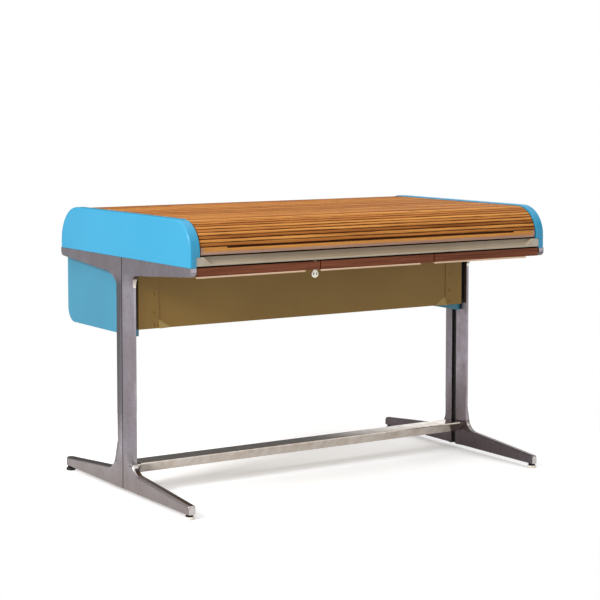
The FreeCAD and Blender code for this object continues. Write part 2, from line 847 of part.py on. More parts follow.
def lock_key():
    """The key: a blade in the plug, and a round bow with two openings, hanging under the drawer."""
    centre_z = plug_bottom() - key_shank_length - key_bow_radius
    half = key_thickness / 2
    front = lock_y() - half
    bow = rod(lock_x(), front, centre_z, key_bow_radius, key_thickness, (0, 1, 0))
    shank = block(
        lock_x() - key_blade_width / 2, lock_x() + key_blade_width / 2, front, lock_y() + half,
        centre_z + key_bow_radius - key_shank_root, plug_bottom() + key_blade_length,
    )
    stretch = FreeCAD.Matrix()
    stretch.scale(1, 1, key_opening_length / key_opening_width)
    openings = []
    for side in (-1, 1):
        x = lock_x() + side * key_opening_offset
        hole = rod(x, front - over, 0, key_opening_width / 2, key_thickness + 2 * over, (0, 1, 0))
        opening = hole.transformGeometry(stretch)
        opening.translate(FreeCAD.Vector(0, 0, centre_z + key_opening_rise))
        opening.rotate(FreeCAD.Vector(x, 0, centre_z), FreeCAD.Vector(0, 1, 0), side * key_opening_tilt)
        openings.append(opening)
    return bow.fuse(shank).cut(openings).removeSplitter()


# --- file bin --------------------------------------------------------------------------------------
def bin_left_end():
    """The bin's left end panel, stepped in at the post, with a groove for the tambour's ends."""
    outline = [
        (bin_front_face + bin_front_thickness, bin_bottom),
        (half_depth, bin_bottom),
        (half_depth, arm_top),
        (bin_front_face + bin_front_thickness, arm_top),
    ]
    panel = profile(outline, -bin_outer, -bin_inner)
    panel = panel.makeFillet(bin_corner_radius, x_edges_at(panel, [(half_depth, bin_bottom)]))
    step = block(
        -bin_outer - over,
        -post_inner + bin_post_clearance,
        bin_front_face,
        post_half_width + bin_post_clearance,
        bin_bottom - over,
        arm_top + over,
    )
    pocket = block(
        -cheek_inner,
        -bin_inner + over,
        bin_inner_wall_rear,
        half_depth - bin_back_thickness,
        pocket_bottom,
        arm_top + over,
    )
    return panel.cut([step, pocket])


def bin_front_panel():
    """The panel under the worktop's rear edge that closes the bin towards the sitter's knees."""
    half = post_inner - bin_front_end_gap
    return block(
        -half, half, bin_front_face, bin_front_face + bin_front_thickness, bin_front_bottom, worktop_bottom
    ).cut(bracket_screw_holes())


def bracket_screw_places():
    """Places of the screws in the two end brackets."""
    x = post_inner - bin_front_end_gap - bracket_width + bracket_screw_inset
    return [(side * x, bin_front_bottom + rise) for side in (-1, 1) for rise in bracket_screw_rises]


def bracket_screw_holes():
    """Holes for the brackets' screws."""
    y = bin_front_face - bracket_thickness - over
    depth = bracket_screw_length + over
    return [rod(x, y, z, bracket_screw_radius, depth, (0, 1, 0)) for x, z in bracket_screw_places()]


def bin_brackets():
    """The plates at the two ends of the bin's front panel, each with its toe."""
    end = post_inner - bin_front_end_gap
    front = bin_front_face - bracket_thickness
    plate = block(end - bracket_width, end, front, bin_front_face, bin_front_bottom, drawer_bottom)
    right = plate.fuse(bracket_toe(end - bracket_width)).cut(bracket_screw_holes())
    return [mirrored(right), right]


def bracket_toe(edge):
    """The sloping gusset beside the right bracket, from the plate's inner edge towards the middle."""
    foot = FreeCAD.Vector(edge, bin_front_face, bin_front_bottom)
    inner = foot - FreeCAD.Vector(bracket_toe_width, 0, 0)
    front = foot - FreeCAD.Vector(0, bracket_toe_depth, 0)
    top = foot + FreeCAD.Vector(0, 0, bracket_toe_height)
    sides = [(foot, inner, front), (foot, top, inner), (foot, front, top), (inner, top, front)]
    faces = [Part.Face(Part.makePolygon([a, b, c, a])) for a, b, c in sides]
    return Part.Solid(Part.Shell(faces))


def bracket_screws():
    """The brackets' screws, with domed heads."""
    screws = []
    seat = bin_front_face - bracket_thickness
    for x, z in bracket_screw_places():
        shank = rod(x, seat, z, bracket_screw_radius, bracket_screw_length, (0, 1, 0))
        head = rod(x, seat, z, bracket_screw_head_radius, bracket_screw_head_height, (0, -1, 0))
        screws.append(head.fuse(shank))
    return screws


def bin_floor():
    """The bin's floor, up to where its back panel curves in."""
    front = bin_front_face + bin_front_thickness
    rear = half_depth - bin_corner_radius
    return block(
        -bin_inner, bin_inner, front, rear, bin_floor_bottom, bin_floor_bottom + bin_floor_thickness
    )


def bin_back_panel():
    """The bin's outer back, bent forward at the bottom to meet the floor."""
    rear = half_depth - bin_back_thickness
    centre_y = half_depth - bin_corner_radius
    centre_z = bin_floor_bottom + bin_corner_radius
    wall = block(-bin_inner, bin_inner, rear, half_depth, centre_z, arm_top + bin_back_rise)
    outer = rod(-bin_inner, centre_y, centre_z, bin_corner_radius, 2 * bin_inner, (1, 0, 0))
    inner_radius = bin_corner_radius - bin_back_thickness
    inner = rod(-bin_inner, centre_y, centre_z, inner_radius, 2 * bin_inner, (1, 0, 0))
    quadrant = block(-bin_inner, bin_inner, centre_y, half_depth, bin_floor_bottom, centre_z)
    return wall.fuse(outer.cut(inner).common(quadrant)).removeSplitter()


def bin_inner_wall():
    """The wall that parts the files from the pocket that the tambour runs down into."""
    bend_radius = bin_corner_radius - bin_back_thickness
    behind_bend = max(0.0, bin_inner_wall_rear - (half_depth - bin_corner_radius))
    bend_centre = bin_floor_bottom + bin_corner_radius
    bend_height = bend_centre - math.sqrt(bend_radius ** 2 - behind_bend ** 2)
    return block(
        -bin_inner, bin_inner, bin_inner_wall_front, bin_inner_wall_rear,
        bend_height + bin_inner_wall_gap, arm_top + bin_back_rise,
    )


def file_rails():
    """Two steel rails that hanging files hook over."""
    high = arm_top - file_rail_drop
    low = high - file_rail_height
    front_rail = bin_front_face + bin_front_thickness + file_rail_front_gap
    rear_rail = bin_inner_wall_front - file_rail_rear_gap - file_rail_thickness
    return [
        block(-bin_inner, bin_inner, y, y + file_rail_thickness, low, high)
        for y in (front_rail, rear_rail)
    ]


# --- tambour ---------------------------------------------------------------------------------------
def on_path(distance):
    """A point of the canvas line and its heading, at a distance from the closed lip's lower edge."""
    along = distance - front_straight
    if along < 0:
        return front_centre_y - front_radius, front_centre_z + along, math.pi / 2
    if along < front_arc:
        turn = along / front_radius
        y = front_centre_y - front_radius * math.cos(turn)
        return y, front_centre_z + front_radius * math.sin(turn), math.pi / 2 - turn
    along -= front_arc
    if along < flat_length:
        return front_centre_y + along, path_top, 0.0
    along -= flat_length
    if along < rear_arc:
        turn = along / rear_radius
        y = rear_centre_y + rear_radius * math.sin(turn)
        return y, rear_centre_z + rear_radius * math.cos(turn), -turn
    return rear_centre_y + rear_radius, rear_centre_z - (along - rear_arc), -math.pi / 2


def set_on_path(shape, distance):
    """Turns and moves a piece that is drawn flat at the origin to its place on the path."""
    y, z, heading = on_path(distance)
    placed = shape.copy()
    placed.rotate(FreeCAD.Vector(0, 0, 0), FreeCAD.Vector(1, 0, 0), math.degrees(heading))
    placed.translate(FreeCAD.Vector(0, y, z))
    return placed


def flat_slat(length, tongue_half):
    """One slat, drawn flat: a chamfered face between shoulders, on a tongue that reaches the cheeks."""
    half = length / 2
    low = canvas_thickness
    shoulder = slat_tongue_thickness
    corners = [(-half, low), (half, low), (half, shoulder), (-half, shoulder)]
    tongue = profile(corners, -tongue_half, tongue_half)
    face_half = cheek_inner - slat_shoulder_gap
    top = slat_thickness
    face = profile(
        [
            (-half, shoulder),
            (half, shoulder),
            (half, top - slat_chamfer),
            (half - slat_chamfer, top),
            (-half + slat_chamfer, top),
            (-half, top - slat_chamfer),
        ],
        -face_half,
        face_half,
    )
    return tongue.fuse(face).removeSplitter()


def canvas_strip(start, end):
    """The canvas behind one section's slats, bent as they are."""
    count = max(1, round((end - start) / slat_pitch))
    pitch = (end - start) / count
    lower = []
    upper = []
    for number in range(count):
        centre = start + pitch * (number + 0.5)
        y, z, heading = on_path(centre)
        for side in (-0.5, 0.5):
            reach = side * pitch
            first = number == 0 and side < 0
            last = number == count - 1 and side > 0
            if first or last:
                reach -= side * slat_gap
            along = (math.cos(heading), math.sin(heading))
            across = (-math.sin(heading), math.cos(heading))
            foot = (y + reach * along[0], z + reach * along[1])
            lower.append(foot)
            upper.append((foot[0] + canvas_thickness * across[0], foot[1] + canvas_thickness * across[1]))
    outline = welded(lower) + welded(upper)[::-1]
    half = cheek_inner - slat_shoulder_gap
    return profile(outline, -half, half)


def welded(points):
    """The same row of points, with each close pair made one point at its middle."""
    kept = [points[0]]
    for first, second in zip(points[1:-1:2], points[2:-1:2]):
        kept.append(((first[0] + second[0]) / 2, (first[1] + second[1]) / 2))
    kept.append(points[-1])
    return kept


def tambour_section(start, end, tongue_half):
    """The slats between two distances on the path, and the canvas that joins them."""
    count = max(1, round((end - start) / slat_pitch))
    pitch = (end - start) / count
    slat = flat_slat(pitch - slat_gap, tongue_half)
    pieces = [set_on_path(slat, start + pitch * (number + 0.5)) for number in range(count)]
    if count == 1 or on_path(start)[2] == on_path(end)[2]:
        half = (end - start - slat_gap) / 2
        width = cheek_inner - slat_shoulder_gap
        corners = [(-half, 0), (half, 0), (half, canvas_thickness), (-half, canvas_thickness)]
        pieces.append(set_on_path(profile(corners, -width, width), (start + end) / 2))
    else:
        pieces.append(canvas_strip(start, end))
    return pieces


def tambour_lip():
    """The tambour's lowest slat, bevelled under, with a long finger groove along its top."""
    half = (lip_length - slat_gap) / 2
    low = canvas_thickness
    shoulder = slat_tongue_thickness
    tongue = profile([(-half, low), (half, low), (half, shoulder), (-half, shoulder)], -slat_half, slat_half)
    face_half = cheek_inner - slat_shoulder_gap
    face = profile(
        [
            (-half, shoulder),
            (half, shoulder),
            (half, slat_thickness),
            (-half + lip_bevel_height, slat_thickness),
            (-half, shoulder + lip_edge_thickness),
        ],
        -face_half,
        face_half,
    )
    groove_half = face_half - finger_groove_end_margin
    groove = profile(
        [
            (half - finger_groove_height, slat_thickness - finger_groove_depth),
            (half + over, slat_thickness - finger_groove_depth),
            (half + over, slat_thickness + over),
            (half - finger_groove_height, slat_thickness + over),
        ],
        -groove_half,
        groove_half,
    )
    lip = tongue.fuse(face).cut(groove).removeSplitter()
    backing = profile([(-half, 0), (half, 0), (half, low), (-half, low)], -face_half, face_half)
    return [set_on_path(piece, lip_length / 2) for piece in (lip, backing)]


def write_tambour():
    """Writes the tambour: lip, front sections, flat top, rear sections and tail."""
    write("tambour_lip", tambour_lip())
    for number in range(front_sections):
        start = lip_length + number * section_length
        write("tambour_front_%d" % (number + 1), tambour_section(start, start + section_length, slat_half))
    write("tambour_top", tambour_section(top_start, top_end, top_tongue_half))
    for number in range(rear_sections):
        start = top_end + number * section_length
        write("tambour_rear_%d" % (number + 1), tambour_section(start, start + section_length, slat_half))
    write("tambour_tail", tambour_section(tail_start, tail_end, slat_half))


def write_both(name, left_piece):
    """Writes a piece and its mirror image as the left and the right node."""
    write(name + "_left", [left_piece])
    write(name + "_right", [mirrored(left_piece)])


def with_mirror(pieces):
    """The given pieces of the left end, and their mirror images."""
    return pieces + [mirrored(piece) for piece in pieces]


def main():
    """Builds every node."""
    os.makedirs("parts", exist_ok=True)
    leg = left_leg()
    strip = channel_strip()
    write_both("leg", leg)
    write("channel_strips", with_mirror([strip]))
    pads, stems = glides()
    write("glide_pads", pads)
    write("glide_stems", stems)
    write("foot_rail", [foot_rail()])
    write("foot_rail_blocks", with_mirror([rail_end_block(leg, strip)]))
    write("foot_rail_studs", with_mirror(rail_studs()))
    write_both("cheek", left_cheek())
    write("cheek_screws", with_mirror(cheek_screws()))
    write("worktop", [worktop_board()])
    write("worktop_edge", [worktop_edge()])
    write("drawer_runners", drawer_runners())
    for number, place in enumerate(("left", "middle", "right")):
        write("drawer_front_" + place, [drawer_front(number)])
        write("drawer_pull_" + place, [drawer_pull(number)])
        write("drawer_tray_" + place, [drawer_tray(number)])
    write("lock_barrel", [lock_barrel()])
    write("lock_plug", [lock_plug()])
    write("lock_cam", [lock_cam()])
    write("lock_key", [lock_key()])
    write_both("bin_end", bin_left_end())
    write("bin_front_panel", [bin_front_panel()])
    write("bin_brackets", bin_brackets())
    write("bracket_screws", bracket_screws())
    write("bin_floor", [bin_floor()])
    write("bin_back_panel", [bin_back_panel()])
    write("bin_inner_wall", [bin_inner_wall()])
    write("file_rails", file_rails())
    write_tambour()


main()
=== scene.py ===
"""Dresses the tambour desk: finishes, eased edges, rounded slats, glides, screws, floor, light and camera.

Metres, in the desk's own frame: +X along its length, -Y towards the person who sits at it, +Z up.
"""
from __future__ import annotations

import json
import logging
import math
from collections.abc import Callable
from dataclasses import dataclass, field, replace
from enum import Enum

import bmesh
import bpy
from mathutils import Euler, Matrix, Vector

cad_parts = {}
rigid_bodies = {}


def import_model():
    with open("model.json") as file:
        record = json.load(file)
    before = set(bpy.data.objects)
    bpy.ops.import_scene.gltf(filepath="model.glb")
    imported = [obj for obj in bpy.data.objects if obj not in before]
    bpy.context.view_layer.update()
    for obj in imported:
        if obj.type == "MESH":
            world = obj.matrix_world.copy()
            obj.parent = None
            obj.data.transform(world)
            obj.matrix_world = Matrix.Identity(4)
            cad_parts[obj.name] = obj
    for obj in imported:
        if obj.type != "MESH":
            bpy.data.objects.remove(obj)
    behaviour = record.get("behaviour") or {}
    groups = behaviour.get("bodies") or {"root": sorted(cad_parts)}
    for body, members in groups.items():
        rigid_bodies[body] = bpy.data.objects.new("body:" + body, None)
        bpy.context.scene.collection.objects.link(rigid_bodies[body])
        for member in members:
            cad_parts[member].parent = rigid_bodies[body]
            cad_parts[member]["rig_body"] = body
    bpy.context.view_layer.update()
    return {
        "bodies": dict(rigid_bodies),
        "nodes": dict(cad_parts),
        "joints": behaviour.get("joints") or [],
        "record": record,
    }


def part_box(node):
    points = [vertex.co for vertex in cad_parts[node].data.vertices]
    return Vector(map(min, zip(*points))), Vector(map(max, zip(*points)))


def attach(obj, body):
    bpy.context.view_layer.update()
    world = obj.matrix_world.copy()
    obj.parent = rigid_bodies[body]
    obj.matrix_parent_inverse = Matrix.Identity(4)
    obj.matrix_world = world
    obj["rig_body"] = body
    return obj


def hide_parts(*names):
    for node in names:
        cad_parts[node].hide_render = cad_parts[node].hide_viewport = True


MM = 0.001
MERGE_DISTANCE = 0.002 * MM      # corners nearer than this are one corner
FLAT_ANGLE = math.radians(0.6)   # faces that meet at less than this are one flat face
SHARP_ANGLE = math.radians(30)   # edges that turn by more than this are sharp
EASE_FLATS = 2                   # flats across an eased edge
SMALL_RIM = 14 * MM              # joined sharp edges that reach no further than this stay crisp
SOFT = {1: 0.3, 2: 0.7}          # a Map Range's first range, which noise seldom leaves: it drifts softly
CLOUDED = {1: 0.36, 2: 0.64}     # a narrower one, in which clouds show their borders
WAVE_PERIOD = math.pi / 10       # of a wave texture with a scale of 1
LOG = logging.getLogger("desk")
Colour = tuple[float, float, float, float]
Triple = tuple[float, float, float]
Range = tuple[float, float]
Material = bpy.types.Material
Mesh = bpy.types.Mesh
Node = bpy.types.Node
Piece = bpy.types.Object
Socket = bpy.types.NodeSocket
Tree = bpy.types.NodeTree


# --- nodes and colours ---------------------------------------------------------------------------------
def linear(code: str) -> Colour:
    """Turn an sRGB hex code into a linear colour.

    Args:
        code: Six hex digits after a "#".

    Returns:
        Red, green, blue and alpha.
    """
    shares = [int(code[place:place + 2], 16) / 255 for place in (1, 3, 5)]
    red, green, blue = (v / 12.92 if v <= 0.04045 else ((v + 0.055) / 1.055) ** 2.4 for v in shares)
    return red, green, blue, 1.0


def add(tree: Tree, kind: str, inputs: dict | None = None, ramp: tuple = (), **settings: object) -> Node:
    """Add one node with its settings, and fill or link its inputs.

    Args:
        tree: The tree that gets the node.
        kind: Blender's name for the kind of node.
        inputs: A value or an output socket for each input, by name or number.
        ramp: Rising (position, colour) stops of a colour ramp.
        settings: The node's own properties.

    Returns:
        The new node.
    """
    node = tree.nodes.new(kind)
    for name, value in settings.items():
        setattr(node, name, value)
    for key, value in (inputs or {}).items():
        if isinstance(value, Socket):
            tree.links.new(value, node.inputs[key])
        else:
            node.inputs[key].default_value = value
    for number, (position, colour) in enumerate(ramp):
        stops = node.color_ramp.elements
        stop = stops[number] if number < len(stops) else stops.new(position)
        stop.position = position
        stop.color = colour
    return node


@dataclass(frozen=True)
class Skin:
    """A material in the making: its tree, the place on the piece that its patterns follow, its shader."""

    tree: Tree
    place: Socket
    shader: Node

    def add(self, kind: str, inputs: dict | None = None, ramp: tuple = (), **settings: object) -> Node:
        """Add one node to this material, as add() does."""
        return add(self.tree, kind, inputs, ramp, **settings)

    def feed(self, name: str, value: Socket) -> None:
        """Link a value to one of the shader's inputs."""
        self.tree.links.new(value, self.shader.inputs[name])

    def mottle(self, sizes_mm: Triple, detail: float = 3.0, roughness: float = 0.5, wander: float = 0.0,
               place: Socket | None = None) -> Socket:
        """A mottled pattern whose patches have a real size.

        Args:
            sizes_mm: The patches' size along X, Y and Z.
            detail: How many finer layers it has.
            roughness: How strong the finer layers are.
            wander: How far the patches stray from straight lines, in their own sizes.
            place: What it follows, where that isn't the place on the piece.

        Returns:
            The socket with its value, from 0 to 1.
        """
        scale = tuple(1 / (size * MM) for size in sizes_mm)
        mapping = self.add("ShaderNodeMapping", {"Vector": place or self.place, "Scale": scale})
        inputs = {"Vector": mapping.outputs[0], "Scale": 1.0}
        inputs |= {"Detail": detail, "Roughness": roughness, "Distortion": wander}
        return self.add("ShaderNodeTexNoise", inputs).outputs[0]

    def relief(self, height: Socket, depth_mm: float) -> None:
        """Give the shader a fine relief.

        Args:
            height: The socket with the height, from 0 to 1.
            depth_mm: What a height of 1 stands for.
        """
        inputs = {"Strength": 1.0, "Distance": depth_mm * MM, "Height": height}
        self.feed("Normal", self.add("ShaderNodeBump", inputs).outputs[0])


# --- finishes ------------------------------------------------------------------------------------------
@dataclass(frozen=True)
class Finish:
    """What every finish has: a name, how dull its surface is, and whether it is bare metal.

    The kinds below add their colour, pattern and relief to the shader that this class sets up.
    """

    name: str
    roughness: float = 0.4
    metallic: float = 0.0
    coat: float = 0.0
    specular: float = 0.5

    def material(self) -> Material:
        """Build the material.

        Returns:
            The new material.
        """
        material = bpy.data.materials.new(self.name)
        material.use_nodes = True
        tree = material.node_tree
        tree.nodes.clear()
        place = add(tree, "ShaderNodeTexCoord").outputs["Object"]
        fixed = {
            "Roughness": self.roughness, "Metallic": self.metallic, "Coat Weight": self.coat,
            "Specular IOR Level": self.specular,
        }
        shader = add(tree, "ShaderNodeBsdfPrincipled", fixed)
        self.dress(Skin(tree, place, shader))
        add(tree, "ShaderNodeOutputMaterial", {"Surface": shader.outputs[0]})
        return material

    def dress(self, skin: Skin) -> None:
        """Give the skin this kind's colour, pattern and relief."""
        raise NotImplementedError


@dataclass(frozen=True)
class Lacquer(Finish):
    """Satin lacquer sprayed on sealed board or sheet steel.

    To the eye: one even colour with a soft wide sheen, a trace of orange peel, and a slight drift in tone.
    """

    colour: str = "#ffffff"
    drift: str = "#ffffff"
    drift_mm: float = 260.0
    peel_mm: float = 2.2
    peel_depth_mm: float = 0.012

    def dress(self, skin: Skin) -> None:
        """Add the drifting colour and the orange peel.

        Args:
            skin: What gets them.
        """
        cloud = skin.mottle((self.drift_mm,) * 3, 2.0)
        cloud = skin.add("ShaderNodeMapRange", {0: cloud} | SOFT).outputs[0]
        inputs = {0: cloud, 6: linear(self.colour), 7: linear(self.drift)}
        skin.feed("Base Color", skin.add("ShaderNodeMix", inputs, data_type="RGBA").outputs[2])
        skin.relief(skin.mottle((self.peel_mm,) * 3, 1.0), self.peel_depth_mm)


@dataclass(frozen=True)
class Walnut(Finish):
    """Oiled walnut, cut along its grain, which runs along X.

    To the eye: long streaks from honey to dark brown, short dark pores, and a dry sheen. A slat's "tone"
    attribute shifts its streaks and its shade, because each was ripped from another part of the plank, and
    its "across" attribute lays painted shade along its two long edges, beside the gaps between the slats.
    """

    dark: str = "#5a3010"
    middle: str = "#a8672c"
    light: str = "#d49a52"
    streak_mm: float = 3.0
    streak_length_mm: float = 330.0
    pore_mm: float = 0.5
    pore_length_mm: float = 14.0
    pore_share: float = 0.35
    pore_range: Range = (0.56, 0.68)       # of the noise, where pores darken the wood
    dent_range: Range = (0.5, 0.7)         # and where they sink into it
    dent_mm: float = 0.05
    tone_share: float = 0.0
    plank_m: float = 3.1                   # how far apart in the plank two slats can come from
    figure_share: float = 0.25
    figure_length: float = 2.0             # of the broad figure, in streaks
    figure_width: float = 14.0
    wander: float = 0.7
    contrast: float = 0.22
    gap_shade: str = "#3a1c0a"
    gap_shade_start: float = 0.7                # of a slat's half width, where the painted shade at its edges starts
    gap_shade_end: float = 0.98
    gap_shade_share: float = 0.0
    gap_shade_drift: float = 0.22
    gap_shade_patch_mm: Triple = (70.0, 9.0, 9.0)
    dry: float = 0.08                      # how much duller the dark streaks are
    oiled: float = 0.06                    # and how much brighter the light ones

    def dress(self, skin: Skin) -> None:
        """Add the streaks, the broad figure, the pores, the painted shade along the slats' edges and the
        slats' own tone.

        Args:
            skin: What gets them.
        """
        tone = skin.add("ShaderNodeAttribute", attribute_name="tone").outputs["Fac"]
        inputs = {0: (self.plank_m, 0.0, 0.0), "Scale": tone}
        shift = skin.add("ShaderNodeVectorMath", inputs, operation="SCALE")
        own = skin.add("ShaderNodeVectorMath", {0: skin.place, 1: shift.outputs[0]}).outputs[0]
        streaks = (self.streak_length_mm, self.streak_mm, self.streak_mm)
        streak = skin.mottle(streaks, 4.0, 0.6, self.wander, own)
        wide = self.streak_mm * self.figure_width
        figure = skin.mottle((self.streak_length_mm * self.figure_length, wide, wide), 2.0)
        shade = skin.add("ShaderNodeMix", {0: self.figure_share, 2: streak, 3: figure}).outputs[0]
        shade = skin.add("ShaderNodeMix", {0: self.tone_share, 2: shade, 3: tone}).outputs[0]
        stops = (
            (0.5 - self.contrast, linear(self.dark)),
            (0.5, linear(self.middle)),
            (0.5 + self.contrast, linear(self.light)),
        )
        wood = skin.add("ShaderNodeValToRGB", {0: shade}, stops).outputs[0]
        pores = skin.mottle((self.pore_length_mm, self.pore_mm, self.pore_mm), 1.0, place=own)
        inputs = {0: pores, 1: self.pore_range[0], 2: self.pore_range[1], 4: self.pore_share}
        pore = skin.add("ShaderNodeMapRange", inputs).outputs[0]
        inputs = {0: pore, 6: wood, 7: linear(self.dark)}
        wood = skin.add("ShaderNodeMix", inputs, data_type="RGBA").outputs[2]
        # the slats' long edges get painted shade, for the gaps between them
        inputs = {0: self.edge_shading(skin, own), 6: wood, 7: linear(self.gap_shade)}
        skin.feed("Base Color", skin.add("ShaderNodeMix", inputs, data_type="RGBA").outputs[2])
        inputs = {0: streak, 3: self.roughness + self.dry, 4: self.roughness - self.oiled} | SOFT
        skin.feed("Roughness", skin.add("ShaderNodeMapRange", inputs).outputs[0])
        inputs = {0: pores, 1: self.dent_range[0], 2: self.dent_range[1], 3: 1.0, 4: 0.0}
        skin.relief(skin.add("ShaderNodeMapRange", inputs).outputs[0], self.dent_mm)

    def edge_shading(self, skin: Skin, own: Socket) -> Socket:
        """How much painted shade a point gets for being near a slat's long edge, beside the gap between
        slats.

        Args:
            skin: What gets the nodes.
            own: The place in the plank that the slat was cut from.

        Returns:
            The socket with the share of the painted shade's colour.
        """
        across = skin.add("ShaderNodeAttribute", attribute_name="across").outputs["Fac"]
        aside = skin.add("ShaderNodeMath", {0: across}, operation="ABSOLUTE").outputs[0]
        patch = skin.mottle(self.gap_shade_patch_mm, 3.0, place=own)
        inputs = {0: patch, 3: -self.gap_shade_drift, 4: self.gap_shade_drift} | SOFT
        uneven = skin.add("ShaderNodeMapRange", inputs).outputs[0]
        aside = skin.add("ShaderNodeMath", {0: aside, 1: uneven}, operation="ADD").outputs[0]
        inputs = {0: aside, 1: self.gap_shade_start, 2: self.gap_shade_end, 4: self.gap_shade_share}
        return skin.add("ShaderNodeMapRange", inputs).outputs[0]


@dataclass(frozen=True)
class AgedAluminium(Finish):
    """Aluminium, cast or drawn, buffed when new and dulled by age and floor wax.

    To the eye: a warm grey metal in clouds of mauve, blue-grey and brown, with small spots of oxide, fine
    scratches and a sheen that is brighter in some patches than in others.
    """

    clean: str = "#8f8a90"
    cloudy: str = "#8a7f84"
    stain_and_shade: str = "#9a8d84"
    cloud_mm: float = 70.0
    cloud_stretch: float = 1.6             # how much taller than wide the clouds are
    spot_mm: float = 7.0
    spot_share: float = 0.35
    spot_range: Range = (0.52, 0.66)       # of the noise, where spots show
    stain_and_shade_height_mm: float = 160.0
    stain_and_shade_share: float = 0.85
    scratch_mm: Triple = (0.6, 9.0, 22.0)
    scratch_depth_mm: float = 0.012
    roughness_spread: float = 0.14
    sheen_range: Range = (0.2, 0.8)
    sheen_spots: float = 0.35              # how much the spots change the sheen; the clouds do the rest
    groove_half_mm: float = 0.0
    groove_soft_mm: float = 0.3
    groove_shade: str = "#241a18"

    def dress(self, skin: Skin) -> None:
        """Add the clouds, the stain and painted shade near the floor, the oxide spots, the scratches and the
        groove's painted shade.

        Args:
            skin: What gets them.
        """
        cloud = skin.mottle((self.cloud_mm, self.cloud_mm, self.cloud_mm * self.cloud_stretch), 4.0, 0.6)
        cloud = skin.add("ShaderNodeMapRange", {0: cloud} | CLOUDED).outputs[0]
        inputs = {0: cloud, 6: linear(self.clean), 7: linear(self.cloudy)}
        metal = skin.add("ShaderNodeMix", inputs, data_type="RGBA").outputs[2]
        # darker towards the floor: a stain, and on the legs' inner faces painted shade
        height = skin.add("ShaderNodeSeparateXYZ", {0: skin.place}).outputs["Z"]
        inputs = {0: height, 1: 0.0, 2: self.stain_and_shade_height_mm * MM, 3: self.stain_and_shade_share, 4: 0.0}
        low = skin.add("ShaderNodeMapRange", inputs).outputs[0]
        inputs = {0: low, 6: metal, 7: linear(self.stain_and_shade)}
        metal = skin.add("ShaderNodeMix", inputs, data_type="RGBA").outputs[2]
        spots = skin.mottle((self.spot_mm,) * 3, 5.0, 0.62)
        inputs = {0: spots, 1: self.spot_range[0], 2: self.spot_range[1], 4: self.spot_share}
        spot = skin.add("ShaderNodeMapRange", inputs).outputs[0]
        inputs = {0: spot, 6: metal, 7: linear(self.stain_and_shade)}
        metal = skin.add("ShaderNodeMix", inputs, data_type="RGBA", blend_type="MULTIPLY").outputs[2]
        # the post's middle groove darkened: painted shade in the recess
        if self.groove_half_mm:
            inputs = {0: self.in_groove(skin), 6: metal, 7: linear(self.groove_shade)}
            metal = skin.add("ShaderNodeMix", inputs, data_type="RGBA").outputs[2]
        skin.feed("Base Color", metal)
        patchy = skin.add("ShaderNodeMix", {0: self.sheen_spots, 2: cloud, 3: spots}).outputs[0]
        half = self.roughness_spread / 2
        inputs = {0: patchy, 1: self.sheen_range[0], 2: self.sheen_range[1]}
        inputs |= {3: self.roughness - half, 4: self.roughness + half}
        skin.feed("Roughness", skin.add("ShaderNodeMapRange", inputs).outputs[0])
        scratch = skin.mottle(self.scratch_mm, 1.0)
        uneven = skin.add("ShaderNodeMix", {0: 0.5, 2: scratch, 3: spots}).outputs[0]
        skin.relief(uneven, self.scratch_depth_mm)

    def in_groove(self, skin: Skin) -> Socket:
        """How far a point is inside the groove that runs down the middle of each post.

        Args:
            skin: What gets the nodes.

        Returns:
            The socket with the share, from 0 beside the groove to 1 in it.
        """
        beside = skin.add("ShaderNodeSeparateXYZ", {0: skin.place}).outputs["Y"]
        beside = skin.add("ShaderNodeMath", {0: beside}, operation="ABSOLUTE").outputs[0]
        half = self.groove_half_mm * MM
        inputs = {0: beside, 1: half, 2: half + self.groove_soft_mm * MM, 3: 1.0, 4: 0.0}
        return skin.add("ShaderNodeMapRange", inputs).outputs[0]


@dataclass(frozen=True)
class Moulded(Finish):
    """Moulded or extruded plastic or rubber.

    To the eye: one colour right through, a soft sheen, a fine grain from the mould, and, on an extrusion,
    faint lines along its length.
    """

    colour: str = "#808080"
    worn: str = "#808080"
    grain_mm: Triple = (0.9, 0.9, 0.9)
    grain_depth_mm: float = 0.02
    grain_share: float = 0.45              # of the wear that follows the grain; clouds make the rest
    cloud_mm: float = 90.0

    def dress(self, skin: Skin) -> None:
        """Add the colour, its wear and the mould's grain.

        Args:
            skin: What gets them.
        """
        grain = skin.mottle(self.grain_mm, 2.0)
        cloud = skin.mottle((self.cloud_mm,) * 3, 3.0)
        mixed = skin.add("ShaderNodeMix", {0: self.grain_share, 2: cloud, 3: grain}).outputs[0]
        worn = skin.add("ShaderNodeMapRange", {0: mixed} | CLOUDED).outputs[0]
        inputs = {0: worn, 6: linear(self.colour), 7: linear(self.worn)}
        skin.feed("Base Color", skin.add("ShaderNodeMix", inputs, data_type="RGBA").outputs[2])
        skin.relief(grain, self.grain_depth_mm)


